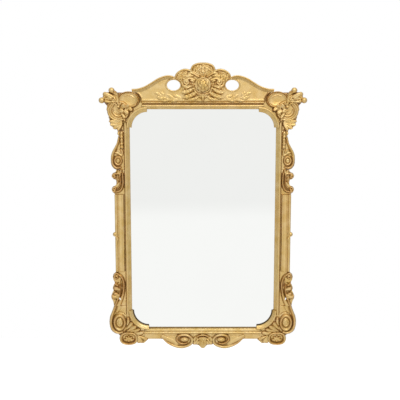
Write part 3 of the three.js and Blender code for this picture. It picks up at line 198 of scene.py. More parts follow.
# %% [markdown]
# The block itself is a grid of heights, one every millimetre and a half. Members are laid on it and the highest
# one shows, as where one leaf lies over another. `cover` is how far a point lies inside the outline; the block is
# cut away where it is negative, and the points along the cut are moved on to it, so the sawn edge runs smooth.

# %% The carver's block
GRID = 1.5
EMPTY = -99.0
WIDEST_MEMBER = 45


def soft_once(field, keep):
    """One pass of a small blur that leaves out what lies outside the outline."""
    weight = keep.astype(float)
    total = field * weight
    for axis in (0, 1):
        total = 0.5 * total + 0.25 * (np.roll(total, 1, axis) + np.roll(total, -1, axis))
        weight = 0.5 * weight + 0.25 * (np.roll(weight, 1, axis) + np.roll(weight, -1, axis))
    return np.where(keep, total / np.maximum(weight, 1e-6), field)


class Block:
    """A block of pine seen from the front, in millimetres: x to the right, z up, height out of the wall."""

    def __init__(self, left, right, low, high, grid=GRID):
        margin = 2 * grid
        self.grid = grid
        self.x, self.z = np.meshgrid(
            np.arange(left - margin, right + margin + grid, grid),
            np.arange(low - margin, high + margin + grid, grid))
        self.height = np.full(self.x.shape, EMPTY)
        self.cover = np.full(self.x.shape, EMPTY)

    def lay(self, cover, height):
        self.height = np.where(cover > 0, np.maximum(self.height, height), self.height)
        self.cover = np.maximum(self.cover, cover)

    def near(self, points, reach):
        low, high = np.min(points, axis=0) - reach, np.max(points, axis=0) + reach
        rows = np.where((self.z[:, 0] >= low[1]) & (self.z[:, 0] <= high[1]))[0]
        columns = np.where((self.x[0] >= low[0]) & (self.x[0] <= high[0]))[0]
        if not len(rows) or not len(columns):
            return None
        return slice(rows[0], rows[-1] + 1), slice(columns[0], columns[-1] + 1)

    def member(self, points, half, rise, floor=0.0, section=round_section):
        """Lays a member along a drawn line: half width, rise and floor are numbers or functions of t."""
        line = drawn(points)
        window = self.near(line, WIDEST_MEMBER)
        if window is None:
            return
        distance, side, t = nearest(line, self.x[window], self.z[window])
        width, up, ground = (v(t) if callable(v) else np.full(t.shape, float(v)) for v in (half, rise, floor))
        width = np.maximum(width, 0.05)
        u = np.clip(side * distance / width, -1, 1)
        cover = width - distance
        height = ground + up * section(u, t)
        self.height[window] = np.where(cover > 0, np.maximum(self.height[window], height), self.height[window])
        self.cover[window] = np.maximum(self.cover[window], cover)

    def leaf(self, points, width, rise, floor=0.0, lobes=4, pointed=0.35, curl=0.0):
        """A leaf along a drawn line, lifting at the tip by curl."""
        self.member(points, leaf_outline(width, lobes, pointed),
                    lambda t: rise * (0.55 + 0.45 * np.sin(np.pi * (0.2 + 0.7 * t))),
                    lambda t: floor + curl * t**2, leaf_section(lobes))

    def inside(self, points, smooth=False):
        """How far each point lies inside a closed outline, negative outside."""
        line = drawn(points, closed=True) if smooth else np.array([*points, points[0]], float)
        distance, _, _ = nearest(line, self.x, self.z)
        within = np.zeros(self.x.shape, bool)
        for (ax, az), (bx, bz) in zip(line[:-1], line[1:]):
            if az == bz:
                continue
            crosses = (self.z >= min(az, bz)) & (self.z < max(az, bz))
            within ^= crosses & (self.x < ax + (self.z - az) * (bx - ax) / (bz - az))
        return np.where(within, distance, -distance)

    def oval(self, centre, radii, tilt=0.0, fullness=2.0):
        """Radius from 0 to 1 in an oval, how far inside it each point lies, and the angle about its centre.

        A fullness of 2 is an ellipse; more fills out its shoulders.
        """
        c, s = math.cos(math.radians(tilt)), math.sin(math.radians(tilt))
        dx, dz = self.x - centre[0], self.z - centre[1]
        a, b = (dx * c + dz * s) / radii[0], (-dx * s + dz * c) / radii[1]
        r = np.maximum((np.abs(a) ** fullness + np.abs(b) ** fullness) ** (1 / fullness), 1e-6)
        slope = np.hypot((np.abs(a) / r) ** (fullness - 1) / radii[0], (np.abs(b) / r) ** (fullness - 1) / radii[1])
        return r, (1 - r) / np.maximum(slope, 1e-6), np.arctan2(b, a)

    def ground(self, points, height, smooth=False, ease=3.0):
        """The flat ground that carving stands on, with its arris eased."""
        cover = self.inside(points, smooth)
        self.lay(cover, height - ease * np.clip(1 - cover / ease, 0, 1) ** 2)

    def turned(self, centre, radii, profile, fullness=2.0):
        """A turned oval: profile gives [radius, height] pairs from the centre out."""
        r, cover, _ = self.oval(centre, radii, fullness=fullness)
        radius, height = zip(*profile)
        self.lay(cover, np.interp(r, radius, height))

    def bead(self, centre, radius, height, floor=0.0, tall=1.0):
        r, cover, _ = self.oval(centre, (radius, radius * tall))
        self.lay(cover, floor + height * np.sqrt(np.clip(1 - r**2, 0, 1)))

    def petals(self, centre, radii, count, floor, height, phase, cup):
        """A ring of round petals, each cupped, meeting in V cuts."""
        r, _, angle = self.oval(centre, radii)
        wave = np.abs(np.cos((angle - phase) * count / 2))
        edge = 0.66 + 0.34 * wave**0.6
        q = np.clip(r / edge, 0, 1.2)
        inside = (edge - r) * min(radii)
        shape = np.sqrt(np.clip(1 - q**4, 0, 1)) * (1 - cup + cup * q**2) * (0.62 + 0.38 * wave**0.5)
        self.lay(inside, floor + height * shape)

    def lobe(self, points, width, rise, floor=0.0, curl=0.0):
        """A plain round lobe or petal along a drawn line, fullest past its middle, lifting at the tip by curl."""
        def half(t):
            return width / 2 * (0.45 + 0.55 * np.sin(np.clip(t / 0.62, 0,
                1) * math.pi / 2)) * np.sqrt(np.clip(1 - np.clip((t - 0.7) / 0.3, 0, 1) ** 2, 0.02, 1))
        self.member(points, half, lambda t: rise * (0.6 + 0.4 * np.sin(np.pi * np.clip(0.15 + 0.6 * t, 0, 1))),
                    lambda t: floor + curl * t**2,
                    lambda u,
                    t: np.sqrt(np.clip(1 - u**2, 0, 1)) - 0.22 * np.exp(-((u / 0.2) ** 2)) * np.clip(1.2 - t, 0, 1))

    def groove(self, points, half, depth):
        """A V cut with a parting tool along a drawn line."""
        line = drawn(points)
        distance, _, t = nearest(line, self.x, self.z)
        swell = np.sin(np.pi * np.clip(0.08 + 0.9 * t, 0, 1)) ** 0.5
        self.height -= depth * swell * np.exp(-((distance / half) ** 2))

    def stipple(self, where, spacing, depth, seed=5):
        """Punched ground: small hollows about one spacing apart, each a little out of line."""
        rng = np.random.default_rng(seed)
        column, row = np.floor(self.x / spacing).astype(int), np.floor(self.z / spacing).astype(int)
        jitter = rng.random((97, 89, 2)) * 0.7 + 0.15
        near = np.full(self.x.shape, 9.0)
        for i in (-1, 0, 1):
            for j in (-1, 0, 1):
                spot = jitter[(row + i) % 97, (column + j) % 89]
                px, pz = (column + j + spot[..., 0]) * spacing, (row + i + spot[..., 1]) * spacing
                near = np.minimum(near, np.hypot(self.x - px, self.z - pz) / spacing)
        self.height -= np.where(where, depth * np.clip(1 - near / 0.42, 0, 1) ** 0.7, 0)

    def pebble(self, where, spacing, rise, seed=7):
        """Pebbled ground: small domes about one spacing apart, each a little out of line and of its own height."""
        rng = np.random.default_rng(seed)
        column, row = np.floor(self.x / spacing).astype(int), np.floor(self.z / spacing).astype(int)
        jitter = rng.random((97, 89, 3)) * 0.6 + 0.2
        lift = np.zeros(self.x.shape)
        for i in (-1, 0, 1):
            for j in (-1, 0, 1):
                spot = jitter[(row + i) % 97, (column + j) % 89]
                px, pz = (column + j + spot[..., 0]) * spacing, (row + i + spot[..., 1]) * spacing
                near = np.hypot(self.x - px, self.z - pz) / spacing
                lift = np.maximum(lift,
                                  (0.55 + 0.9 * (spot[..., 2] - 0.2)) * np.sqrt(np.clip(1 - (near / 0.58) ** 2, 0,
                                      1)))
        self.height += np.where(where, rise * lift, 0)

    def pierce(self, cover):
        """Cuts right through where cover is positive."""
        self.cover = np.minimum(self.cover, -cover)

    def limit(self, where, height):
        """Pares the block down to a height, so that what is planted on it has a seat."""
        self.height = np.where(where, np.minimum(self.height, height), self.height)


print("the block has a height every", GRID, "mm")

# %% [markdown]
# From block to mesh: a quad for each grid square inside the outline, walls along the edge and a plain back. How
# much a point lies below its surroundings is kept on the mesh as `hollow`; the gilding reads it to darken the
# hollows, partly as dirt and partly as painted shade, and to rub the proud places as hands do.

# %% Cutting out the block
SPREAD_PASSES = 14
FULLY_SUNK = 2.8
CARVED_ARRIS = math.radians(50)


def cut_out(block, name, back, hand=1):
    """Turns a block into an object whose back is `back` millimetres out of the wall. Hand -1 mirrors it."""
    grid, cover = block.grid, block.cover
    cells = (cover[:-1, :-1] + cover[1:, :-1] + cover[:-1, 1:] + cover[1:, 1:]) > 0
    for _ in range(2):
        corner = cells[:-1, :-1] & cells[1:, 1:] & ~cells[1:, :-1] & ~cells[:-1, 1:]
        cells[:-1, :-1] &= ~corner
        corner = cells[1:, :-1] & cells[:-1, 1:] & ~cells[:-1, :-1] & ~cells[1:, 1:]
        cells[1:, :-1] &= ~corner
    touched = np.zeros(cover.shape, int)
    for di, dj in ((0, 0), (1, 0), (0, 1), (1, 1)):
        touched[di:di + cells.shape[0], dj:dj + cells.shape[1]] += cells
    used, rim = touched > 0, (touched > 0) & (touched < 4)

    height = block.height.copy()
    keep = height > EMPTY / 2
    for _ in range(3):
        grown = np.maximum.reduce([np.roll(height, s, a) for s, a in ((1, 0), (-1, 0), (1, 1), (-1, 1))])
        height = np.where(keep, height, grown)
        keep |= height > EMPTY / 2
    height = np.maximum(np.where(keep, height, 1.0), 1.0)
    height = soft_once(height, used)
    wide = height
    for _ in range(SPREAD_PASSES):
        wide = soft_once(wide, used)
    hollow = np.clip((wide - height) / FULLY_SUNK, -1, 1)

    slope_z, slope_x = np.gradient(cover, grid)
    steep = np.maximum(slope_x**2 + slope_z**2, 0.3)
    shift = np.clip(-cover, -1.1 * grid, 1.1 * grid) / steep
    x = np.where(rim, block.x + shift * slope_x, block.x)
    z = np.where(rim, block.z + shift * slope_z, block.z)

    index = np.full(cover.shape, -1)
    index[used] = np.arange(used.sum())
    a, b = index[:-1, :-1][cells], index[:-1, 1:][cells]
    c, d = index[1:, 1:][cells], index[1:, :-1][cells]
    quads = [np.column_stack([a, b, c, d])]
    padded = np.pad(cells, 1)
    edges = []
    for neighbour, start, end in ((padded[:-2, 1:-1], (0, 0), (0, 1)), (padded[1:-1, 2:], (0, 1), (1, 1)),
                                  (padded[2:, 1:-1], (1, 1), (1, 0)), (padded[1:-1, :-2], (1, 0), (0, 0))):
        open_side = cells & ~neighbour
        i, j = np.nonzero(open_side)
        edges.append(np.column_stack([index[i + start[0], j + start[1]], index[i + end[0], j + end[1]]]))
    edges = np.vstack(edges)
    rim_index = np.unique(edges)
    foot = np.full(used.sum(), -1)
    foot[rim_index] = used.sum() + np.arange(len(rim_index))
    quads.append(np.column_stack([edges[:, 1], edges[:, 0], foot[edges[:, 0]], foot[edges[:, 1]]]))
    faces = np.vstack(quads)

    front = np.column_stack([x[used] * hand, -(back + height[used]), z[used]])
    rear = front[rim_index].copy()
    rear[:, 1] = -back
    points = np.vstack([front, rear]) * MM
    if hand < 0:
        faces = faces[:, ::-1]
    mesh = bpy.data.meshes.new(name)
    mesh.from_pydata(points.tolist(), [], faces.tolist())
    values = np.concatenate([hollow[used], np.zeros(len(rim_index))])
    mesh.attributes.new("hollow", "FLOAT", "POINT").data.foreach_set("value", values.astype(np.float32))

    cutter = bmesh.new()
    cutter.from_mesh(mesh)
    cutter.edges.ensure_lookup_table()
    loops = [edge for edge in cutter.edges if edge.is_boundary]
    filled = bmesh.ops.triangle_fill(cutter, edges=loops, use_beauty=False, use_dissolve=False)
    backs = [face for face in filled["geom"] if isinstance(face, bmesh.types.BMFace)]
    for face in backs:
        face.normal_update()
        if face.normal.y < 0:
            face.normal_flip()
    open_edges = sum(1 for edge in cutter.edges if not edge.is_manifold)
    cutter.to_mesh(mesh)
    cutter.free()
    mesh.polygons.foreach_set("use_smooth", np.ones(len(mesh.polygons), bool))
    mesh.set_sharp_from_angle(angle=CARVED_ARRIS)
    piece = bpy.data.objects.new(name, mesh)
    bpy.context.scene.collection.objects.link(piece)
    print(f"{name}: {len(mesh.polygons)} faces, {open_edges} open edges")
    return piece


carved = []


def plant(block, node, name, back, pair=True):
    """Cuts out the block and plants it where the CAD node is: on both sides where it is one of a pair."""
    for side, hand in (("right", 1), ("left", -1)) if pair else (("", 1),):
        piece = cut_out(block, f"{name}_{side}" if side else name, back, hand)
        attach(piece, "frame")
        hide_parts(f"{node}_{side}" if side else node)
        carved.append(piece)


# %% [markdown]
# Heights out of the wall come from the CAD nodes, so that nothing is fitted by eye: the carcass face, the face
# of the crest board, and the face of the flat band under the glass.

# %% Seats for the carving
FACE = -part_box("corner_moulding_top_right")[1].y / MM
CREST_SEAT = -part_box("crest_cartouche")[1].y / MM
ROSETTE_SEAT = -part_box("crest_rosette")[1].y / MM
SPRAY_SEAT = -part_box("corner_spray_right")[1].y / MM
APRON_SEAT = -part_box("apron_shell")[1].y / MM
SIGHT_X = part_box("sight_moulding_right")[0].x / MM
SIGHT_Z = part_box("sight_moulding_top")[0].z / MM
GLUE = 0.3
CORNER = (304.0, 511.0)
CORNER_RADIUS = 84
CORNER_REACH = 112.3
print("seats:", [round(v, 1) for v in (FACE, CREST_SEAT, ROSETTE_SEAT, SPRAY_SEAT, APRON_SEAT, SIGHT_X, SIGHT_Z)])

# %% [markdown]
# ** Mouldings.** The runs round the glass are made with a moulding plane and a scratch stock: one section for
# the whole length. So each is a sweep. The section reads, from the glass outward, a low lip, a slope, a fat torus
# with the brightest highlight of the frame, a dark quirk, and a bead or a flat band. Where the low lip runs is kept
# on the mesh as `lip`, where the gilding paints a dark shade along the glass.

# %% Sweeping a section
def arc(centre, radius, start, end, steps):
    """Points of an arc in degrees, as [out, height]."""
    angles = np.radians(np.linspace(start, end, steps + 1))
    return [(centre[0] + radius * math.cos(a), centre[1] + radius * math.sin(a)) for a in angles]


SPREAD = 5.0
DEEP = 6.0
BESIDE = 10.0
LIP_REACH, LIP_HEIGHT = 12, 3
CORNER_SHADE, STRAIGHT_SHADE = 1.0, 0.4
PLANED_ARRIS = math.radians(38)


def sunk(section):
    """How far each point of a section lies below what stands within a few millimetres of it, from -1 to 1."""
    corners = np.array([corner for corner in section if corner[1] > 0])
    places = np.arange(corners[0, 0] - 10, corners[-1, 0] + 10, 0.5)
    surface = np.interp(places, corners[:, 0], corners[:, 1])
    surface[(places < corners[0, 0]) | (places > corners[-1, 0])] = BESIDE
    level = [np.average(surface, weights=np.exp(-(((places - u) / SPREAD) ** 2))) for u, _ in section]
    return np.clip((np.array(level) - np.array([h for _, h in section])) / DEEP, -1, 1)


def shaded_lip(section):
    """How much painted shade the low flat lip next to the glass gets: fully on a corner, less on a straight run, 0
    elsewhere.
    """
    shade = CORNER_SHADE if section[0][0] == 0 else STRAIGHT_SHADE
    on_lip = [shade if u < LIP_REACH and 0 < h <= LIP_HEIGHT else 0.0 for u, h in section]
    on_lip[0] = on_lip[1]
    return np.array(on_lip)


def moulded(name, points, section, rings):
    """Closes a mesh from rings of section points, each ring a scribed or square end or a station between."""
    count = len(section)
    faces = [(r * count + i, r * count + (i + 1) % count, (r + 1) * count + (i + 1) % count, (r + 1) * count + i)
             for r in range(rings - 1) for i in range(count)]
    faces += [tuple(reversed(range(count))), tuple(range(len(points) - count, len(points)))]
    mesh = bpy.data.meshes.new(name)
    mesh.from_pydata(points, [], faces)
    values = np.tile(sunk(section), rings).astype(np.float32)
    mesh.attributes.new("hollow", "FLOAT", "POINT").data.foreach_set("value", values)
    # The lip values mark where the gilding paints shade beside the glass.
    shade = np.tile(shaded_lip(section), rings).astype(np.float32)
    mesh.attributes.new("lip", "FLOAT", "POINT").data.foreach_set("value", shade)
    turner = bmesh.new()
    turner.from_mesh(mesh)
    bmesh.ops.recalc_face_normals(turner, faces=turner.faces)
    turner.to_mesh(mesh)
    turner.free()
    mesh.polygons.foreach_set("use_smooth", np.ones(len(mesh.polygons), bool))
    mesh.set_sharp_from_angle(angle=PLANED_ARRIS)
    piece = bpy.data.objects.new(name, mesh)
    bpy.context.scene.collection.objects.link(piece)
    return piece


def sweep(name, section, stations, back):
    """Carries a section [out, height] along stations ((x, z), (out_x, out_z)) and closes both ends."""
    points = [((x + ox * u) * MM, -(back + h) * MM, (z + oz * u) * MM) for (x, z), (ox, oz) in stations for u,
              h in section]
    return moulded(name, points, section, len(stations))


def run(name, node, section, stations, back=FACE):
    """A length of moulding in place of its CAD node."""
    piece = sweep(name, section, stations, back)
    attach(piece, "frame")
    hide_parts(node)
    carved.append(piece)


GLASS_SECTION = [(0, 0), (0, 4.2), (0.8, 5), (3, 5.6), (9, 10), (14.4, 15.4), (15.4, 15.6),
                 *arc((21.8, 16.6), 6.6, 172, 8, 18),
                 (28.2, 12)]
NO_FILLET = [(28.4, 0)]
SIDE_QUIRK = [(28.8, 3.6), (29.4, 3), (31.6, 3), (32, 2.6), (32, 0)]
TOP_SECTION = [(4, 0), (4, 4.2), (4.6, 5), (6, 5.6), (12, 11), (15.4, 14.6), *arc((21.4, 15.6), 6.2, 172, 4, 18),
               (28, 8), (28.6, 5), (35.6, 5), (36.2, 9.4),
               *arc((39.6, 10.4), 3.4, 170, 20, 8), (43, 9), (43, 0)]
BASE_SECTION = [(5, 0), (5, 2.6), (5.6, 3), (11.6, 3), (12.2, 9), (13, 11.2), (17, 13.4), (22, 15), (25.4, 15.2),
                (26.8, 13.8),
                *arc((32.6, 17), 6.2, 200, 2, 20), (39.2, 12), (39.6, 8.4), (41.6, 8.2), (42.6, 9.6), (43.6, 10),
                (70.4, 10), (72, 8.6), (72, 0)]
CORNER_BASE = [(0, 0), (0, 2.4), (0.6, 2.8), (5.4, 2.8), (6, 7.4), (9.6, 11), (14.4, 15.4), (15.4, 15.6),
               *arc((21.8, 16.6), 6.6, 172, 8, 18),
               (28.2, 12)]


print("the run's section has", len(GLASS_SECTION), "points before its outer member")


SHOULDER = 17.3
RAIL_REACH, SIDE_REACH = 329, 536


def straight(name, node, section, origin, out, direction, inner_reach, outer_reach):
    """A straight run, both ends scribed: points nearer the glass than the shoulder stop at inner_reach."""
    piece_points = []
    for sign in (-1, 1):
        ring = []
        for u, h in section:
            reach = inner_reach if u < SHOULDER else outer_reach
            ring.append((origin[0] + out[0] * u + sign * direction[0] * reach, h,
                         origin[1] + out[1] * u + sign * direction[1] * reach))
        piece_points.append(ring)
    points = [(x * MM, -(FACE + h) * MM, z * MM) for ring in piece_points for x, h, z in ring]
    piece = moulded(name, points, section, 2)
    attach(piece, "frame")
    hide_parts(node)
    carved.append(piece)


# %% [markdown]
# **Runs round the glass.** A straight run is planed and a curved corner is turned and cut in quarters. Each is one
# sweep here, along a line or round an arc. The sides and the upper corners share a section; the top, the bottom
# and the lower corners have their own, because they look different in the photograph.

# %% Runs round the glass
straight("glass_run_top", "sight_moulding_top", TOP_SECTION, (0, SIGHT_Z), (0, 1), (1, 0), CORNER[0] - GLUE,
         RAIL_REACH)
straight("glass_run_bottom", "sight_moulding_bottom", BASE_SECTION, (0, -SIGHT_Z), (0, -1), (1, 0), CORNER[0] - GLUE,
         RAIL_REACH)
for side, hand in (("right", 1), ("left", -1)):
    straight(f"glass_run_{side}", f"sight_moulding_{side}", GLASS_SECTION + SIDE_QUIRK, (hand * SIGHT_X, 0),
             (hand, 0), (0, 1),
             CORNER[1] - GLUE, SIDE_REACH)
    for level, up in (("top", 1), ("bottom", -1)):
        stations = []
        for angle in np.radians(np.linspace(0, 90, 25)):
            out = (hand * math.cos(angle), up * math.sin(angle))
            stations.append(((hand * CORNER[0] + CORNER_RADIUS * out[0], up * CORNER[1] + CORNER_RADIUS * out[1]),
                             out))
        curved = GLASS_SECTION if up > 0 else CORNER_BASE
        run(f"corner_run_{level}_{side}", f"corner_moulding_{level}_{side}", curved + NO_FILLET, stations)

# %% [markdown]
# **Pilaster strips.** Down each side runs a shallow hollow field with a bright edge line, a quirk and an outer
# bead. It is planed in one length between the upper and lower scrolls.

# %% Pilaster strips
strip_low, strip_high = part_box("pilaster_right")
PILASTER = [(0, 0), (0, 3), (0.6, 3.4), (5.2, 3.6), (6, 10.4), (7, 12.2), (10, 12.8), (12.8, 12.2), (14, 10.6),
            *[(15 + 16 * t, 10.4 - 1.4 * math.sin(math.pi * t)) for t in np.linspace(0, 1, 9)],
            *arc((33.8, 11.4), 2.6, 170, 10, 8), (36.6, 10.4), (39.2, 10.2), *arc((47.3, 9.2), 7.7, 170, 0, 18),
            (55, 0)]
for side, hand in (("right", 1), ("left", -1)):
    stations = [((hand * strip_low.x / MM, z / MM), (hand, 0)) for z in (strip_low.z, strip_high.z)]
    run(f"pilaster_strip_{side}", f"pilaster_{side}", PILASTER, stations)

# %% [markdown]
# **Swan neck.** The crest board is edged by a rising moulding that dips like a swan's neck from the tip over the
# corner to the notch beside the shell. Its line is drawn through eight points of the sawn edge.

# %% Swan-neck moulding
SWAN = [(158, 786), (180, 790), (204, 788), (240, 775.5), (276, 753.5), (312, 733), (348, 721), (383, 718)]
swan_line = drawn(SWAN, spacing=6)
NECK = [(-19, 0), (-19, 2.6), (-18.4, 3.2), (-16.6, 3.2), (-16, 2.6), *arc((-15.6, 10.6), 8.0, -84, -12, 8),
        (-7.4, 10.4),
        *arc((-4, 9.6), 3.4, 160, 0, 10), (-0.4, 7), (0, 6), (0, 0)]
for side, hand in (("right", 1), ("left", -1)):
    stations = []
    for i, (x, z) in enumerate(swan_line):
        before, after = swan_line[max(i - 1, 0)], swan_line[min(i + 1, len(swan_line) - 1)]
        ahead = (after - before) / np.hypot(*(after - before))
        stations.append(((hand * x, z), (-ahead[1] * hand, ahead[0])))
    run(f"swan_neck_{side}", f"crest_moulding_{side}", NECK, stations, back=CREST_SEAT)

# %% [markdown]
# **Crest board.** One pine board, sawn to the swan neck and pierced by two ovals. A raised bead rims each oval
# and the ends beside the dishes. The ground between is punched, so that the low leaf sprays stand out.

# %% Crest board
DISH = (402, 661)
CREST_HOLE, CREST_HOLE_RADII = (158, 738), (36, 28.5)
HOLE_ROOM = (CREST_HOLE_RADII[0] + 7, CREST_HOLE_RADII[1] + 7)

board = Block(-352, 352, 646, 850, grid=2.0)
half_outline = [(341, 646.4), (341, 662), (344, 679), (355, 696), (367, 706), (378, 714), (346, 717), (312, 729),
                (276, 749), (240, 771),
                (204, 783), (180, 785), (160, 781), (139, 792), (108, 808), (51, 825.6), (25.6, 844.6)]
outline = half_outline + [(-x, z) for x, z in reversed(half_outline)]
edge = board.inside(outline)
panel = 16.4 + 1.6 * np.clip(1 - np.abs(edge - 4) / 3, 0, 1)
board.lay(edge, panel)
board.stipple(edge > 9, 5.5, 0.6)
foot = board.z - 646.3
board.height -= 7 * np.clip((5.4 - foot) / 1.5, 0, 1)
board.height += 1.6 * np.exp(-(((foot - 12) / 4.5) ** 2))
for hand in (1, -1):
    beside, _, _ = board.oval((hand * DISH[0], DISH[1]), (69, 51))
    board.limit(beside < 1, 5)
    board.member([(hand * x, z) for x, z in ((332.5, 652), (332.5, 670), (341, 687), (352, 698), (364, 705))], 3.2,
                 4.6, 15.6)
    r, inside, _ = board.oval((hand * CREST_HOLE[0], CREST_HOLE[1]), CREST_HOLE_RADII)
    ring = np.abs(inside + 3.4)
    board.height = np.where(ring < 3.2,
                            np.maximum(board.height, 16.5 + 4.0 * np.sqrt(np.clip(1 - (ring / 3.2) ** 2, 0, 1))),
                            board.height)
    board.pierce(inside)
plant(board, "crest_board", "crest_panel", FACE, pair=False)

# %% [markdown]
# **Cartouche.** A fan lobe with a rolled rim and a pebbled ground stands over two round pebbled lobes. Scrolls and
# leaves lie beside the flower, and a bud closes it below. With the flower on it, it stands out furthest of all.

# %% Crest cartouche
shell_top = Block(-156, 156, 645, 862, grid=1.2)
body = [(50, 818), (116, 776), (116, 744), (108, 712), (98, 688), (66, 666), (26, 652)]
shell_top.ground(body + [(-x, z) for x, z in reversed(body)], 8, smooth=True)
top_r, top_lobe, _ = shell_top.oval((0, 819), (62, 33))
shell_top.lay(top_lobe, 10 + 5 * np.clip(1 - top_r**2, 0, 1))
shell_top.pebble((top_r < 0.84) & (shell_top.height > 9), 10.0, 6.0)
for hand in (1, -1):
    side_r, side_lobe, _ = shell_top.oval((hand * 106, 782), (42, 34))
    shell_top.lay(side_lobe, 8 + 3 * np.clip(1 - side_r**2, 0, 1))
    shell_top.pebble((side_r < 0.8) & (top_lobe < 0), 8.5, 5.5, seed=11)
    shell_top.member(flipped(hand, [(60, 806), (74, 815), (98, 819), (124, 810), (142, 794), (146, 776), (136, 762)]),
                     lambda t: 5.6 - 1.4 * t, 8, 9)
    shell_top.member(flipped(hand, [(0, 777), (22, 781), (40, 792), (58, 801), (78, 799)]), lambda t: 4.6 + 1.8 * t,
                     9, 10)
    shell_top.member(flipped(hand, [(22, 790), (40, 802), (60, 812)]), 3.2, 6, 9)
    shell_top.lobe(flipped(hand, [(52, 786), (72, 788), (92, 780)]), 20, 9, 8)
    shell_top.member(flipped(hand, spiral((86, 754), (17, 15), 100, 1.3, 0.3, -1, [(44, 766), (62, 774), (76, 772)])),
                     lambda t: 6.0 - 2.4 * t, 10, 8, band_section)
    shell_top.bead((hand * 86, 753), 5.5, 11, 9)
    shell_top.bead((hand * 53, 735), 8, 12, 8)
    shell_top.bead((hand * 67, 748), 5.5, 9, 8)
    shell_top.bead((hand * 97, 730), 8, 11, 8)
    shell_top.lobe(flipped(hand, [(46, 752), (56, 760), (70, 764)]), 13, 9, 9)
    shell_top.leaf(flipped(hand, [(58, 734), (84, 728), (112, 736)]), 24, 10, 7, 3, curl=4)
    shell_top.leaf(flipped(hand, [(54, 720), (84, 704), (116, 700)]), 32, 11, 7, 4, 0.2, curl=4)
    shell_top.leaf(flipped(hand, [(36, 700), (68, 682), (108, 672)]), 32, 12, 7, 4, 0.2, curl=4)
    shell_top.leaf(flipped(hand, [(16, 682), (44, 666), (80, 660)]), 20, 9, 7, 3, 0.2, curl=2)
    for line in ([(66, 724), (88, 714), (104, 716)], [(50, 706), (76, 692), (100, 688)],
                 [(30, 688), (54, 674), (78, 668)]):
        shell_top.groove(flipped(hand, line), 1.8, 5)
    shell_top.member(flipped(hand, [(48, 724), (42, 706), (26, 692), (0, 687)]), lambda t: 5.0 + 2.6 * t,
                     lambda t: 10 + 4 * t, 8)
    for i in range(4):
        x, z = drawn([(48, 722), (42, 706), (26, 692), (4, 687)])[int(i * 6.5)]
        shell_top.groove(flipped(hand, [(x - 6, z - 8), (x, z), (x + 4, z + 9)]), 1.6, 5)
niche = np.hypot(shell_top.x, (shell_top.z - 742) * 1.04)
shell_top.limit((niche < 43) & (niche > 33.5), 5.5)
shell_top.lobe([(0, 690), (0, 678), (0, 662)], 20, 14, 7)
shell_top.lobe([(-4, 690), (-12, 678), (-16, 668)], 10, 10, 7)
shell_top.lobe([(4, 690), (12, 678), (16, 668)], 10, 10, 7)
shell_top.bead((0, 659), 9, 10, 7, tall=0.75)
rim_line = [(-60, 803), (-62, 822), (-50, 841), (-24, 850.5), (0, 852), (24, 850.5), (50, 841), (62, 822), (60, 803)]
shell_top.member(rim_line, 4.6, 8, 10)
for hand in (1, -1):
    _, hole, _ = shell_top.oval((hand * CREST_HOLE[0], CREST_HOLE[1]), HOLE_ROOM)
    shell_top.pierce(hole)
seat, _, _ = shell_top.oval((0, 736), (34.6, 34.6))
shell_top.limit(seat < 1, ROSETTE_SEAT - CREST_SEAT - GLUE)
plant(shell_top, "crest_cartouche", "crest_shell", CREST_SEAT, pair=False)

# %% [markdown]
# **Rosette.** A small open flower. It could be turned and notched; it is three rings of petals laid one over the
# other, because each ring then keeps its own height.

# %% Rosette on the cartouche
flower = Block(-36, 36, 700, 772, grid=1.0)
flower.petals((0, 736), (34, 34), 6, 1.5, 10, phase=math.pi / 2, cup=0.25)
flower.petals((0, 738), (25, 26), 5, 6, 12, phase=math.pi / 2 + math.pi / 5, cup=0.15)
flower.petals((0, 741), (15, 16), 5, 12, 9, phase=math.pi / 2, cup=0.1)
flower.bead((0, 742), 6.5, 7, 15)
plant(flower, "crest_rosette", "crest_flower", ROSETTE_SEAT, pair=False)

# %% [markdown]
# **Low sprays.** On the punched ground beside the cartouche lie flat sprays, hardly more than a leaf's
# thickness, carved in the solid of a thin slip.

# %% Leaf sprays on the crest panel
spray = Block(98, 272, 650, 708)
spray.member([(102, 656), (140, 664), (178, 662), (206, 670), (226, 684)], lambda t: 3.4 - 1.2 * t, 3.5, 2.2)
for points, width in (([(110, 660), (132, 674), (160, 684)], 20), ([(128, 662), (152, 656), (172, 652)], 13),
                      ([(150, 664), (172, 676), (192, 690)], 17), ([(176, 662), (200, 656), (222, 655)], 13),
                      ([(204, 670), (228, 668), (252, 680)], 20), ([(210, 674), (216, 690), (232, 702)], 17),
                      ([(224, 682), (244, 694), (262, 696)], 15)):
    spray.leaf(points, width, 4.6, 2.2, 3)
spray.member(spiral((236, 682), (9, 9), 200, 1.0, 0.35, 1), lambda t: 3.0 - t, 4, 2.4)
_, hole, _ = spray.oval(CREST_HOLE, HOLE_ROOM)
spray.pierce(hole)
plant(spray, "crest_leaf", "crest_spray", CREST_SEAT)
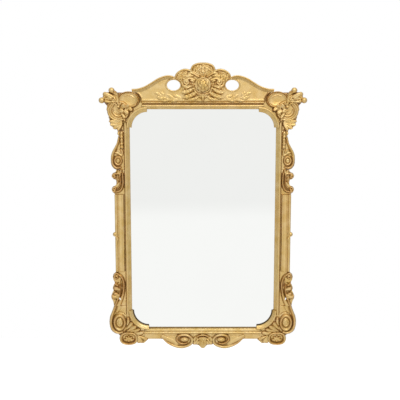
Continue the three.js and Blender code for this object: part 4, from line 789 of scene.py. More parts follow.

# %% [markdown]
# ** Upper corners.** A hollow oval dish with a rolled rim, and under it a disc of concentric rolls like the end
# of a rolled parchment. The hollows between them take a reddish dark brown, partly dirt and partly painted shade.

# %% Upper corner cartouches
corner_top = Block(328, 530, 492, 712, grid=1.2)
spandrel = [(329.4, 646.6), (332, 662), (338, 684), (354, 700), (404, 706), (452, 696), (486, 652), (510, 612),
            (512, 566),
            (500, 536), (474, 512), (431.8, 497), (431.8, 536.8), (407, 536.8), (329.4, 619)]
corner_top.ground(spandrel, 6)
corner_top.turned(DISH, (60, 44),
                  [(0, 8), (0.3, 8.5), (0.6, 11), (0.76, 14.5), (0.8, 17.5), (0.84, 18), (0.87, 13.5), (0.9, 15),
                   (0.92, 22),
                                         (0.95, 25), (0.98, 24), (1.0, 16)])
for arch in ([(366, 676), (382, 690), (404, 694), (428, 688)], [(372, 670), (386, 681), (404, 685), (424, 680)]):
    corner_top.member(arch, 1.8, 1.8, 11.5)
corner_top.turned((457, 600), (61, 57),
                  [(0, 19), (0.1, 18), (0.16, 15), (0.22, 18.5), (0.3, 20.5), (0.36, 16), (0.42, 20), (0.5, 22),
                   (0.56, 17), (0.62, 22),
                                         (0.7, 26), (0.76, 23), (0.8, 19.5), (0.86, 22.5), (0.93, 21.5), (1.0, 13)])
corner_top.member([(486, 646), (502, 642), (513, 628), (518, 606)], lambda t: 4.4 - 1.4 * t, 8, 15)
for points, width in (([(440, 541), (474, 542), (508, 546)], 22), ([(440, 538), (470, 532), (502, 526)], 28),
                      ([(440, 534), (464, 518), (486, 507)], 24),
                      ([(438, 530), (450, 513), (463, 496)], 18)):
    corner_top.lobe(points, width, 13, 7, curl=6)
for line in ([(452, 537), (476, 534), (498, 530)], [(450, 530), (468, 519), (484, 507)]):
    corner_top.groove(line, 1.7, 4)
for points, width, lift in (([(406, 619), (394, 612), (381, 602)], 22, 14),
                            ([(432, 606), (418, 598), (402, 585)], 26, 16),
                            ([(392, 624), (378, 626), (362, 634)], 13, 8),
                            ([(444, 592), (432, 578), (421, 560)], 18, 16),
                            ([(438, 562), (428, 556), (420, 546)], 12, 8)):
    corner_top.lobe(points, width, 12, lift, curl=4)
for line in ([(404, 609), (400, 600), (396, 590)], [(426, 588), (420, 578), (414, 570)],
             [(440, 574), (434, 562), (430, 552)]):
    corner_top.groove(line, 1.8, 5)
gap = np.hypot(corner_top.x - CORNER[0], corner_top.z - CORNER[1]) - CORNER_REACH
corner_top.pierce(-gap)
corner_top.pierce(np.minimum(431.6 - corner_top.x, 536.6 - corner_top.z))
corner_top.pierce(np.minimum(329.2 - corner_top.x, 646.5 - corner_top.z))
seat = np.hypot(corner_top.x - 455, corner_top.z - 616) < 30
corner_top.limit(seat, SPRAY_SEAT - FACE - GLUE)
plant(corner_top, "corner_cartouche", "corner_shell", FACE)

# %% [markdown]
# **Acanthus spray.** Leaves spring from a bud between dish and disc: rolled tips stand up over the corner,
# broad lobes lie over the disc. Most are plain rounds with a shallow fold, as under thick gesso.

# %% Acanthus sprays on the corners
acanthus = Block(398, 564, 540, 730, grid=1.0)
for points, width, rise, lift in (([(456, 662), (468, 686), (484, 708)], 24, 13, 6),
                                  ([(462, 652), (490, 672), (524, 692)], 34, 16, 8),
                                  ([(474, 650), (504, 660), (536, 674)], 24, 13, 5),
                                  ([(482, 650), (508, 652), (540, 657)], 19, 12, 5),
                                  ([(470, 646), (464, 656), (462, 670)], 15, 11, 3),
                                  ([(456, 634), (458, 646), (456, 660)], 15, 11, 3)):
    acanthus.lobe(points, width, rise, 4, curl=lift)
for (x, z), radius, lift in (((491, 709.5), 15.5, 11), ((525, 689), 13, 11), ((545, 657), 15.5, 10),
                             ((472, 701), 7.5, 13), ((470, 660), 8, 10)):
    acanthus.bead((x, z), radius, 13, lift)
for line, half, depth in (([(466, 680), (482, 690), (498, 696), (510, 706)], 2.6, 9),
                          ([(474, 718), (475, 706), (482, 696)], 2.2, 7),
                          ([(512, 676), (524, 671), (537, 675)], 2.2, 5),
                          ([(530, 668), (529, 656), (534, 645)], 2.4, 6),
                          ([(486, 658), (504, 657), (522, 660)], 2.2, 7),
                          ([(480, 670), (485, 666), (489, 664)], 3.2, 7)):
    acanthus.groove(line, half, depth)
acanthus.member(spiral((483, 636), (8, 8), 150, 1.1, 0.35, -1, [(462, 622), (466, 634)]), lambda t: 3.6 - 1.4 * t, 7,
                7)
for points, width in (([(420, 620), (410, 626), (399, 633)], 20), ([(444, 610), (434, 622), (424, 637)], 24),
                      ([(460, 606), (444, 602), (428, 597)], 24),
                      ([(458, 626), (448, 636), (440, 648)], 15)):
    acanthus.lobe(points, width, 12, 4, curl=3)
    (ax, az), (bx, bz), (cx, cz) = points
    acanthus.groove([(ax, az), (bx, bz), ((bx + cx) / 2, (bz + cz) / 2)], 1.3, 2.5)
acanthus.bead((455, 622), 8, 10, 6)
acanthus.groove([(446, 616), (452, 613), (458, 615)], 3, 8)
gap = np.hypot(acanthus.x - CORNER[0], acanthus.z - CORNER[1]) - CORNER_REACH
acanthus.pierce(-gap)
plant(acanthus, "corner_spray", "acanthus_spray", SPRAY_SEAT)

# %% [markdown]
# **Sides, upper half.** A drop of bell-shaped husks hangs from the corner, then an S-shaped band swings out and
# winds in to a volute, and a leafy C-scroll closes the group above the plain strip.

# %% Husk drops
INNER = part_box("sight_moulding_right")[1].x / MM + GLUE
husk = Block(431, 468, 393, 495)
husk.ground([(INNER, 493.8), (464.5, 493.8), (460, 466), (452.5, 454), (450.5, 394.2), (INNER, 394.2)], 7)
for i in range(5):
    top = 493 - i * 19
    for lean in (-5, 5, 0):
        husk.leaf([(443.5 - i * 0.5, top), (443.5 - i * 0.5 + lean * 0.9, top - 12),
                   (443.5 - i * 0.5 + lean, top - 22)],
                  11 if lean else 12, 9 if lean else 12, 6, 2, 0.5, curl=2)
husk.leaf([(458, 492), (460, 480), (456, 466)], 12, 8, 6, 2)
husk.cover = np.minimum(husk.cover,
                        husk.inside([(INNER, 494), (468, 494), (462, 462), (453, 453.8), (450.6, 394), (INNER, 394)]))
plant(husk, "husk_drop", "husk_drop_carved", FACE)

# %% [markdown]
# **Upper volutes.** A volute could be a band wound on itself. Its face is a turned oval with a spiral groove,
# because that keeps the face full and the groove thin.

# %% Upper volutes
upper = Block(431, 504, 280, 466)
outline = [(460.5, 464.6), (469, 427), (480, 406), (493, 384), (501, 362), (503.5, 340), (503.5, 318), (499, 302),
           (488, 288),
           (476, 281.4), (INNER, 281.4), (INNER, 393.6), (451, 393.6), (453, 453.4)]
upper.ground(outline, 7.5)
upper.member([(457, 462), (461, 438), (467, 420), (477, 401), (488, 380), (494.5, 358), (495, 334), (491, 312),
              (480, 297), (464, 291), (449, 296)],
             lambda t: 3.6 + 4.2 * np.sin(np.pi * np.clip(0.1 + 0.8 * t, 0, 1)), lambda t: 11 + 3 * t, 6.5)
upper.turned((463, 331), (23.5, 27.5),
             [(0, 17), (0.2, 18), (0.36, 16.5), (0.45, 12), (0.5, 10), (0.56, 13.5), (0.66, 18), (0.76, 19.5),
              (0.86, 18.5), (0.95, 14), (1.0, 9)])
upper.groove(spiral((463, 331), (7.5, 9), 120, 1.0, 0.25, -1), 1.5, 4)
upper.groove([(480, 358), (487, 344), (488.5, 326), (483, 309), (470, 301)], 1.6, 6)
for points, width in (([(446, 358), (454, 376), (468, 392)], 17), ([(441, 356), (441, 378), (449, 404)], 14),
                      ([(452, 362), (464, 372), (480, 376)], 14)):
    upper.lobe(points, width, 8, 6.5, curl=2)
for line in ([(450, 366), (459, 380), (466, 390)], [(445, 366), (447, 384), (452, 400)]):
    upper.groove(line, 1.8, 5)
upper.cover = np.minimum(upper.cover, upper.inside(outline))
plant(upper, "upper_volute", "upper_volute_carved", FACE)

# %% [markdown]
# **Upper C-scrolls.** Two bands, each wound up at one end round a bead, with leaves between them. Each is a member
# whose width changes along it, because a carved band thins toward its eye.

# %% Upper C-scrolls
upper_c = Block(431, 506, 143.5, 281)
outline = [(INNER, 280.8), (474, 280.8), (480, 268), (494, 263), (500.5, 252), (498, 238), (489, 229), (478, 226),
           (475, 212), (477, 198),
           (484, 192.5), (494, 189), (500.5, 180), (501, 168), (496, 156.5), (488, 151), (484.5, 144.6),
           (INNER, 144.6)]
upper_c.ground(outline, 6)
upper_c.member(spiral((485.5, 173), (12, 13), -100, 1.35, 0.25, 1,
                      [(441, 262), (438.5, 240), (437.5, 218), (438.5, 200), (444, 182), (454, 168), (468, 160.5)]),
               lambda t: 4.6 + 1.6 * np.sin(np.pi * t) - 1.6 * t, lambda t: 12 + 4 * t, 6)
upper_c.bead((485.5, 173), 4, 11, 11)
upper_c.member(spiral((485.5, 246), (11.5, 12), 100, 1.2, 0.3, -1, [(447, 280), (450, 266), (460, 260), (472, 260)]),
               lambda t: 5.8 - 2.4 * t, lambda t: 12 + 4 * t, 7)
upper_c.bead((485, 246), 4, 10, 12)
upper_c.lobe([(462, 280), (463, 270), (466, 260)], 12, 11, 7)
upper_c.lobe([(452, 282), (454, 262), (455, 244)], 12, 12, 7)
upper_c.member([(457, 246), (452, 226), (452, 204), (459, 188), (470, 178)], lambda t: 3.8 - 1.2 * t, 11, 6)
upper_c.lobe([(470, 206), (466, 228), (474, 240)], 12, 8, 6)
upper_c.groove([(461, 214), (464, 224), (463, 234)], 3.2, 7)
upper_c.groove([(446, 250), (445, 222), (447, 200)], 1.8, 5)
upper_c.cover = np.minimum(upper_c.cover, upper_c.inside(outline))
plant(upper_c, "upper_c_scroll", "upper_scroll_carved", FACE)

# %% [markdown]
# **Mid buds.** Half way down, a small round bud with a trailing leaf is let into the outer bead of each strip.

# %% Mid buds
bud = Block(466, 499, -114, -66, grid=1.0)
bud.leaf([(470, -112), (474, -98), (486, -86)], 13, 11, 12, 3, 0.5, curl=2)
bud.bead((486.5, -77), 11.8, 12, 11)
bud.groove([(481, -84), (489, -80), (496, -84)], 1.4, 4)
bud.groove([(478, -68), (476, -77), (479, -87)], 2.0, 7)
plant(bud, "mid_bud", "mid_bud_carved", FACE)

# %% [markdown]
# **Sides, lower half.** A C-scroll curls out at its head, two crisp leaves break its back, and its tail runs out
# into the broad band that sweeps round the largest volute of the frame.

# %% Lower C-scrolls
lower_c = Block(431, 514, -486, -287.5)
outline = [(INNER, -288.6), (466, -288.6), (486, -291), (500, -304), (504, -320), (500, -338), (492, -352),
           (497, -362), (503, -374),
           (505, -386), (501, -398), (508, -412), (514, -428), (513, -444), (505, -458), (502, -470), (500, -485.4),
           (INNER, -485.4)]
lower_c.ground(outline, 6)
lower_c.member(spiral((482, -315), (14.5, 17.5), 150, 1.4, 0.25, -1,
                      [(446, -410), (442.5, -388), (441, -362), (445, -338), (454, -318)]),
               lambda t: 5.6 + 0.8 * np.sin(np.pi * t) - 1.8 * t, lambda t: 13 + 3 * t, 6)
lower_c.bead((482, -315), 5, 11, 11)
lower_c.member([(443, -396), (448, -420), (457, -446), (468, -470), (478, -492)], lambda t: 5.6 + 8 * t,
               lambda t: 12 - 4 * t, 6)
lower_c.member([(464, -362), (463, -388), (465, -412), (471, -436), (482, -460), (492, -484)],
               lambda t: 3.6 + 1.8 * t, 12, 7)
lower_c.lobe([(474, -370), (484, -362), (495, -354)], 15, 12, 7, curl=4)
lower_c.bead((496, -356), 7, 10, 12)
lower_c.lobe([(466, -392), (478, -388), (492, -380)], 26, 14, 7, curl=5)
lower_c.bead((488, -384), 10.5, 12, 12)
lower_c.lobe([(470, -430), (482, -420), (498, -414)], 22, 13, 7, curl=4)
lower_c.lobe([(476, -438), (490, -434), (508, -430)], 26, 14, 7, curl=5)
lower_c.bead((504, -429), 9.5, 11, 13)
lower_c.bead((480, -451), 5.5, 11, 12)
for line, half, depth in (([(455, -334), (456, -352), (455, -376)], 4.2, 11),
                          ([(472, -352), (480, -358), (488, -366)], 2.4, 9),
                          ([(474, -372), (481, -374), (490, -372)], 1.8, 6),
                          ([(474, -398), (486, -400), (500, -400)], 2.6, 9),
                          ([(480, -422), (494, -422), (506, -418)], 1.8, 6),
                          ([(455, -392), (457, -414), (464, -436)], 2.0, 6),
                          ([(484, -446), (496, -446), (506, -440)], 2.0, 7)):
    lower_c.groove(line, half, depth)
_, slot_hole, _ = lower_c.oval((465, -446), (4.6, 7.5), tilt=-20)
lower_c.cover = np.minimum(lower_c.cover, lower_c.inside(outline))
lower_c.pierce(slot_hole)
plant(lower_c, "lower_c_scroll", "lower_scroll_carved", FACE)

# %% [markdown]
# **Lower volutes.** The largest volute of the frame. It is a block of its own, as the real one is a piece of its
# own, and it is cut back where the patera stands.

# %% Lower volutes
PATERA, PATERA_RADII, PATERA_FULLNESS = (418, -673), (51.5, 37), 2.5
PATERA_ROOM = (52.1, 37.6)
lower = Block(431, 528, -652, -485)
outline = [(INNER, -486.2), (500, -486.2), (505, -503), (512, -521), (522, -544), (526, -567), (526.5, -590),
           (524, -607), (518.5, -624),
           (509, -637), (492, -648), (468, -650), (446, -644), (INNER, -620)]
lower.ground(outline, 8)
lower.member([(491, -487), (498, -505), (506, -526), (513, -548), (517, -572), (515.5, -596), (508, -618),
              (493, -635), (473, -641), (454, -637)],
             lambda t: 5.4 + 3.2 * np.sin(np.pi * np.clip(0.1 + 0.7 * t, 0, 1)), lambda t: 12 + 3 * t, 7)
lower.turned((468.5, -582), (37, 51),
             [(0, 18), (0.2, 18.5), (0.36, 17.5), (0.48, 14), (0.55, 9.5), (0.58, 9.5), (0.64, 15), (0.72, 20),
              (0.8, 21.5), (0.88, 20),
                                       (0.95, 15), (1.0, 8)])
lower.groove(spiral((468.5, -583), (12.5, 20), 100, 1.1, 0.3, -1), 1.8, 4.5)
lower.groove([(489, -532), (502, -552), (507, -578), (503, -604), (490, -624)], 2.0, 8)
lower.member([(468, -487), (474, -505), (484, -522)], lambda t: 13 - 6 * t, 6, 7)
lower.groove([(436, -540), (448, -527), (468, -523), (486, -528)], 2.0, 5)
lower.cover = np.minimum(lower.cover, lower.inside(outline))
_, patera_room, _ = lower.oval(PATERA, PATERA_ROOM, fullness=PATERA_FULLNESS)
lower.pierce(patera_room)
plant(lower, "lower_volute", "lower_volute_carved", FACE)

# %% [markdown]
# **Lower corners.** An oval patera with a thick rim holds an opened shell in its hollow, and a leaf fills the
# spandrel between it and the curved moulding.

# %% Paterae
patera = Block(364, 472, -713, -633, grid=1.2)
patera.turned(PATERA, PATERA_RADII,
              [(0, 9), (0.62, 9), (0.7, 13), (0.75, 21), (0.8, 25), (0.87, 27.5), (0.93, 26), (0.98, 21), (1.0, 15)],
              fullness=PATERA_FULLNESS)
for angle in (18, 54, 90, 126, 162):
    a = math.radians(angle)
    tip = (PATERA[0] + 31 * math.cos(a), PATERA[1] - 17 + 34 * math.sin(a))
    middle = (PATERA[0] + 17 * math.cos(a), PATERA[1] - 17 + 19 * math.sin(a))
    patera.leaf([(PATERA[0] + 3 * math.cos(a), PATERA[1] - 17), middle, tip], 15, 9, 9, 3, 0.15, curl=5)
patera.bead((PATERA[0], PATERA[1] - 15), 7, 10, 12)
plant(patera, "corner_patera", "patera_carved", FACE)

# %% [markdown]
# **Lower spandrels.** The leaf could be carved on the moulding. It is a separate slip, as in the CAD, cut back
# where the patera stands.

# %% Leaves in the lower spandrels
foot_leaf = Block(306, 432, -705, -535)
outline = [(430.7, -536.6), (430.7, -630), (399, -640), (372, -660), (370, -690), (370, -703), (349, -702),
           (332, -702), (322, -693), (309, -681), (309, -674), (329.4, -670), (329.4, -618),
           (408, -536.6)]
foot_leaf.ground(outline, 10)
for points, width, lift in (([(372, -656), (350, -668), (312, -680)], 20, 3),
                            ([(378, -652), (360, -674), (343, -699)], 26, 4),
                            ([(386, -646), (368, -672), (361, -700)], 22, 5),
                            ([(398, -642), (366, -646), (334, -638)], 24, 5),
                            ([(408, -636), (384, -632), (354, -618)], 22, 6),
                            ([(424, -632), (400, -620), (374, -600)], 26, 7),
                            ([(430, -618), (414, -604), (396, -578)], 26, 8),
                            ([(426, -596), (420, -578), (419, -556)], 20, 8)):
    foot_leaf.lobe(points, width, 12, 7, curl=lift)
for line in ([(366, -660), (350, -672), (332, -684)], [(382, -650), (362, -656), (340, -652)],
             [(398, -638), (374, -636), (350, -629)], [(412, -630), (388, -622), (366, -608)],
             [(426, -624), (406, -606), (388, -588)], [(428, -604), (414, -586), (408, -566)]):
    foot_leaf.groove(line, 1.7, 4.5)
foot_leaf.bead((420, -556), 8.5, 12, 10)
foot_leaf.bead((334, -637), 7, 9, 9)
gap = np.hypot(foot_leaf.x - CORNER[0], foot_leaf.z + CORNER[1]) - CORNER_REACH
foot_leaf.pierce(-gap)
foot_leaf.cover = np.minimum(foot_leaf.cover, 430.9 - foot_leaf.x)
foot_leaf.pierce(np.minimum(329.2 - foot_leaf.x, foot_leaf.z + 672))
_, patera_room, _ = foot_leaf.oval(PATERA, PATERA_ROOM, fullness=PATERA_FULLNESS)
foot_leaf.pierce(patera_room)
foot_leaf.pierce(foot_leaf.z + 536.4)
plant(foot_leaf, "corner_leaf_bottom", "spandrel_leaf", FACE)

# %% [markdown]
# **Apron.** Two flat C-scrolls sweep in from the sides and take one turn round a long low eye, with a shell and a
# closed bud between them. They are planted on the flat band under the glass.

# %% Apron scrolls
apron = Block(60, 238, -730, -642)
outline = [(236, -663), (229, -674), (215, -690), (203, -701), (191, -709), (179, -715.5), (157, -724.5), (124, -729),
           (96, -728), (78, -721),
           (64, -712), (55.5, -698), (53.5, -682), (57, -664), (68, -652), (92, -645), (124, -645), (148, -651),
           (162, -660)]
apron.ground(outline, 6)
apron.member([(226, -664), (200, -677), (168, -692), (148, -704)], 12, 5, 5)
apron.member([(233, -662), (222, -673), (206, -690), (188, -702.5), (165, -713), (140, -719.5), (112, -720.5),
              (84, -713), (67, -701), (61, -684), (66, -666), (84, -654.5),
              (108, -651), (132, -655), (143, -665), (145, -678), (138, -690), (122, -698.5), (104, -700.5),
              (90, -697)],
             lambda t: np.interp(t, (0, 0.3, 0.5, 0.75, 1), (3.4, 8.4, 8.0, 6.8, 4.0)), lambda t: 10 + 5 * t, 6)
apron.bead((104, -678), 25, 12, 7, tall=0.58)
apron.groove(spiral((104, -679), (15, 7.5), 190, 1.0, 0.3, -1), 1.5, 4)
apron.groove([(80, -672), (88, -664.5), (106, -662), (124, -666), (130, -677), (123, -688), (106, -692), (88, -690),
              (78, -682)], 1.7, 5)
plant(apron, "apron_scroll", "apron_scroll_carved", APRON_SEAT)

# %% [markdown]
# **Apron shell.** The shell and its bud close the gap between the two scrolls. They share one block, because
# they are carved in one piece.

# %% Apron shell
hood = Block(-60, 60, -732, -646, grid=1.2)
hood.ground([(-50, -647), (-57, -664), (-56, -684), (-59, -700), (-56, -709), (-44, -711), (-30, -708), (-18, -719),
             (0, -730), (18, -719),
             (30, -708), (44, -711), (56, -709), (59, -700), (56, -684), (57, -664), (50, -647)], 5)
for hand in (1, -1):
    hood.lobe([(hand * 14, -668), (hand * 34, -680), (hand * 50, -706)], 24, 12, 5, curl=4)
    hood.lobe([(hand * 14, -684), (hand * 26, -696), (hand * 33, -708)], 15, 11, 5, curl=2)
    hood.lobe([(hand * 30, -662), (hand * 42, -668), (hand * 54, -684)], 16, 11, 5, curl=3)
    hood.groove([(hand * 24, -668), (hand * 38, -680), (hand * 48, -696)], 1.8, 6)
bud_r, _, _ = hood.oval((0, -694), (23, 34.5))
hood.bead((0, -694), 23, 13, 9, tall=1.5)
hood.pebble((bud_r < 0.86) & (hood.z > -702), 6.5, 3.0, seed=3)
for offset in (-14, -5, 5, 14):
    hood.groove([(offset * 0.4, -664), (offset * 1.1, -690), (offset * 0.7, -722)], 1.5, 3.2)
hood.member([(-42, -676), (-32, -661), (-16, -653.5), (0, -651.5), (16, -653.5), (32, -661), (42, -676)], 4.2, 11, 8)
hood.groove([(-27, -676), (-21, -664), (0, -658.5), (21, -664), (27, -676)], 2.2, 8)
plant(hood, "apron_shell", "apron_shell_carved", APRON_SEAT, pair=False)
print(len(carved), "gilded pieces")

# %% [markdown]
# **Hangers.** Each is a bent steel strap whose folded eye holds a D-ring of 4 mm wire. A ring is round wire swept
# along its path, and two slotted wood screws hold each strap to the top rail.

# %% Hangers
def turned_disc(name, centre, radii, heights, sides=32):
    """A small turned solid on the wall axis: rings of [radius, height], closed at both ends."""
    mesh = bpy.data.meshes.new(name)
    rings = list(zip(radii, heights))
    points = [(centre[0] + r * math.cos(a), centre[1] + h, centre[2] + r * math.sin(a))
              for r, h in rings for a in np.linspace(0, 2 * math.pi, sides, endpoint=False)]
    faces = [(k * sides + i, k * sides + (i + 1) % sides, (k + 1) * sides + (i + 1) % sides, (k + 1) * sides + i)
             for k in range(len(rings) - 1) for i in range(sides)]
    faces += [tuple(range(sides)), tuple(range(len(points) - sides, len(points)))]
    mesh.from_pydata([[v * MM for v in p] for p in points], [], faces)
    return mesh


def tube(name, path, radius, sides=20):
    """Round wire along a closed path in a plane parallel to the wall."""
    count = len(path)
    points, faces = [], []
    for i in range(count):
        ahead = np.array(path[(i + 1) % count]) - np.array(path[i - 1])
        ahead = ahead / np.linalg.norm(ahead)
        across = np.array((ahead[2], 0, -ahead[0]))
        for a in np.linspace(0, 2 * math.pi, sides, endpoint=False):
            points.append(np.array(path[i]) + radius * (math.cos(a) * across + math.sin(a) * np.array((0, 1, 0))))
    for i in range(count):
        for k in range(sides):
            a, b = i * sides + k, i * sides + (k + 1) % sides
            c, d = (i + 1) % count * sides + (k + 1) % sides, (i + 1) % count * sides + k
            faces.append((a, b, c, d))
    mesh = bpy.data.meshes.new(name)
    mesh.from_pydata([tuple(p * MM) for p in points], [], faces)
    return mesh


steelwork = []
for side, hand in (("right", 1), ("left", -1)):
    low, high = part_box(f"hanger_ring_{side}")
    low, high = np.array(low) / MM, np.array(high) / MM
    middle, depth, wire = (low[0] + high[0]) / 2, (low[1] + high[1]) / 2, (high[1] - low[1]) / 2
    top, half, corner = high[2] - wire, (high[0] - low[0]) / 2 - wire, 5.0
    drop = top - (low[2] + wire)
    path = [(middle + half - corner + corner * math.cos(a), depth,
             top - corner + corner * math.sin(a)) for a in np.radians(np.linspace(90, 0, 8))]
    path += [(middle + half * math.cos(a), depth,
              top - corner + (drop - corner) * math.sin(a)) for a in np.radians(np.linspace(0, -180, 40))[1:-1]]
    path += [(middle - half + corner + corner * math.cos(a), depth,
              top - corner + corner * math.sin(a)) for a in np.radians(np.linspace(180, 90, 8))]
    path += [(middle - half + corner + (2 * half - 2 * corner) * t, depth, top) for t in np.linspace(0, 1, 8)[1:-1]]
    mesh = tube(f"ring_{side}", path, wire)
    mesh.polygons.foreach_set("use_smooth", np.ones(len(mesh.polygons), bool))
    ring = bpy.data.objects.new(f"d_ring_{side}", mesh)
    bpy.context.scene.collection.objects.link(ring)
    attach(ring, f"ring_{side}")
    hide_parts(f"hanger_ring_{side}")
    steelwork.append(ring)
    strap_low = np.array(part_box(f"hanger_strap_{side}")[0]) / MM
    for i, height in enumerate((strap_low[2] + 6, strap_low[2] + 16)):
        mesh = turned_disc(f"screw_{side}_{i}", (middle, 1.9, height), (0.01, 2.0, 3.4, 3.4, 0.01),
                           (1.5, 1.35, 0.5, 0.02, 0.0))
        screw = bpy.data.objects.new(f"hanger_screw_{side}_{i}", mesh)
        bpy.context.scene.collection.objects.link(screw)
        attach(screw, "frame")
        steelwork.append(screw)
print(len(steelwork), "steel pieces")

# %% [markdown]
# **Colours and nodes.** Colours are written as the sRGB hex values a picker shows and turned to linear by one
# function. One more function adds a node with its settings and links.

# %% Node helpers
def hex_colour(code):
    parts = [int(code[i:i + 2], 16) / 255 for i in (0, 2, 4)]
    return [v / 12.92 if v <= 0.04045 else ((v + 0.055) / 1.055) ** 2.4 for v in parts] + [1.0]


def add(tree, kind, links=None, **settings):
    """Adds a shader node. Settings are the node's own; links are its inputs, each a number, a colour or a socket."""
    node = tree.nodes.new("ShaderNode" + kind)
    for key, value in settings.items():
        setattr(node, key, value)
    for key, value in (links or {}).items():
        if isinstance(value, bpy.types.NodeSocket):
            tree.links.new(value, node.inputs[key])
        else:
            node.inputs[key].default_value = value
    return node


def finish_material(name, build):
    """A new material whose nodes are laid by build(tree), which returns the shader socket."""
    material = bpy.data.materials.new(name)
    material.use_nodes = True
    tree = material.node_tree
    tree.nodes.clear()
    output = tree.nodes.new("ShaderNodeOutputMaterial")
    tree.links.new(build(tree), output.inputs["Surface"])
    return material


print("gold leaf as linear light:", [round(v, 3) for v in hex_colour("D4B061")[:3]])

# %% [markdown]
# ** Gilding.** Gold leaf on red clay bole on gesso. The joints between the leaves are too faint to draw. Old
# gilding is toned: the hollows are darkened, partly by dirt and size and partly as painted shade, while the proud
# edges are rubbed and show a breath of red clay. It is a metal, but a soft one: burnished and then dulled, so
# highlights spread. Faces toward the wall were never gilded and stay bare wood; the lip beside the glass gets a dark
# painted shade.

# %% Gold leaf over bole
CLOUD = 45.0
SPECK = 7.0
PATCH = 260.0
CRACKLE = 9.0


def gilding(tree):
    place = add(tree, "TexCoord").outputs["Object"]
    cloudy = add(tree, "TexNoise",
                 {"Vector": place, "Scale": 1000 / CLOUD, "Detail": 4.0, "Roughness": 0.6}).outputs["Fac"]
    fine = add(tree, "TexNoise",
               {"Vector": place, "Scale": 1000 / SPECK, "Detail": 6.0, "Roughness": 0.65}).outputs["Fac"]
    broad = add(tree, "TexNoise", {"Vector": place, "Scale": 1000 / PATCH, "Detail": 2.0}).outputs["Fac"]
    tone = add(tree, "MapRange", {"Value": cloudy, "From Min": 0.3, "From Max": 0.7})
    gold = add(tree, "Mix", {0: tone.outputs[0], 6: hex_colour("D4B061"), 7: hex_colour("ECD196")}, data_type="RGBA")
    warm = add(tree, "Mix",
               {0: add(tree, "MapRange",
                       {"Value": broad, "From Min": 0.35, "From Max": 0.7, "To Max": 0.4}).outputs[0],
                             6: gold.outputs[2], 7: hex_colour("DCB06C")}, data_type="RGBA")
    hollow = add(tree, "Attribute", attribute_name="hollow").outputs["Fac"]
    speck = add(tree, "Math", {0: fine, 1: 0.6}, operation="MULTIPLY").outputs[0]
    depth = add(tree, "Math", {0: hollow, 1: speck}, operation="ADD").outputs[0]
    # Hollows take a brown that is partly dirt and partly painted shade; the same mask makes them rougher.
    dirt_and_shade = add(tree, "MapRange", {"Value": depth, "From Min": 0.5, "From Max": 1.15, "To Max": 0.7},
               interpolation_type="SMOOTHSTEP").outputs[0]
    grime_and_shade_colour = add(tree, "Mix", {0: tone.outputs[0], 6: hex_colour("806018"), 7: hex_colour("865020")}, data_type="RGBA")
    toned_and_shaded = add(tree, "Mix", {0: dirt_and_shade, 6: warm.outputs[2], 7: grime_and_shade_colour.outputs[2]}, data_type="RGBA")
    proud = add(tree, "Math", {0: hollow, 1: -1.0}, operation="MULTIPLY").outputs[0]
    rubbed = add(tree, "Math", {0: proud, 1: speck}, operation="ADD").outputs[0]
    worn = add(tree, "MapRange", {"Value": rubbed, "From Min": 0.8, "From Max": 1.25, "To Max": 0.4},
               interpolation_type="SMOOTHSTEP").outputs[0]
    handled = add(tree, "Mix", {0: worn, 6: toned_and_shaded.outputs[2], 7: hex_colour("C98F58")}, data_type="RGBA")
    # The lip beside the glass is painted dark brown as shade, and there the leaf loses its metal and coat.
    lip = add(tree, "Attribute", attribute_name="lip").outputs["Fac"]
    colour = add(tree, "Mix", {0: lip, 6: handled.outputs[2], 7: hex_colour("4A3A1C")}, data_type="RGBA")
    rough = add(tree, "MapRange",
                {"Value": fine, "From Min": 0.3, "From Max": 0.7, "To Min": 0.3, "To Max": 0.46}).outputs[0]
    rougher = add(tree, "Math", {0: dirt_and_shade, 1: 0.35, 2: rough}, operation="MULTIPLY_ADD").outputs[0]
    cells = add(tree, "TexVoronoi", {"Vector": place, "Scale": 1000 / CRACKLE},
                feature="DISTANCE_TO_EDGE").outputs["Distance"]
    crack = add(tree, "MapRange", {"Value": cells, "From Max": 0.05, "To Min": -0.3, "To Max": 0.0}).outputs[0]
    relief = add(tree, "Math", {0: fine, 1: crack}, operation="ADD").outputs[0]
    bump = add(tree, "Bump", {"Height": relief, "Strength": 0.35, "Distance": 0.0008}).outputs[0]
    outward = add(tree, "NewGeometry").outputs["Normal"]
    toward_wall = add(tree, "SeparateXYZ", {0: outward}).outputs["Y"]
    bare = add(tree, "MapRange", {"Value": toward_wall, "From Min": 0.7, "From Max": 0.9}).outputs[0]
    bare_wood_and_lip_shade = add(tree, "Math", {0: bare, 1: lip}, operation="MAXIMUM").outputs[0]
    back = add(tree, "Mix", {0: bare, 6: colour.outputs[2], 7: hex_colour("B08A58")}, data_type="RGBA")
    metal = add(tree, "MapRange", {"Value": bare_wood_and_lip_shade, "To Min": 0.8, "To Max": 0.0}).outputs[0]
    varnish = add(tree, "MapRange", {"Value": bare_wood_and_lip_shade, "To Min": 0.3, "To Max": 0.0}).outputs[0]
    dry = add(tree, "Math", {0: bare_wood_and_lip_shade, 1: 0.35, 2: rougher}, operation="MULTIPLY_ADD").outputs[0]
    return add(tree, "BsdfPrincipled",
               {"Base Color": back.outputs[2], "Metallic": metal, "Roughness": dry, "Normal": bump,
                                         "Coat Weight": varnish, "Coat Roughness": 0.28,
                                         "Coat Normal": bump}).outputs[0]


gold_leaf = finish_material("gold_leaf_on_red_bole", gilding)
for piece in carved:
    piece.data.materials.clear()
    piece.data.materials.append(gold_leaf)
print("gilded", len(carved), "pieces")

# %% [markdown]
# **Carcass pine.** Planed softwood that has never been finished, gone brown with age. The growth rings of a
# flat-sawn board show as long lines that swell into tongues. Real ones are 3 to 5 mm apart. They are drawn 10 mm
# apart here, because finer ones would blur into one even brown. Each backboard gets a stretch of grain of its own.

# %% Aged pine
RING_SPACING = 10.0
FIBRES_PER_METRE = 900.0
STAIN = 200.0
WAVES_PER_UNIT = math.pi / 10


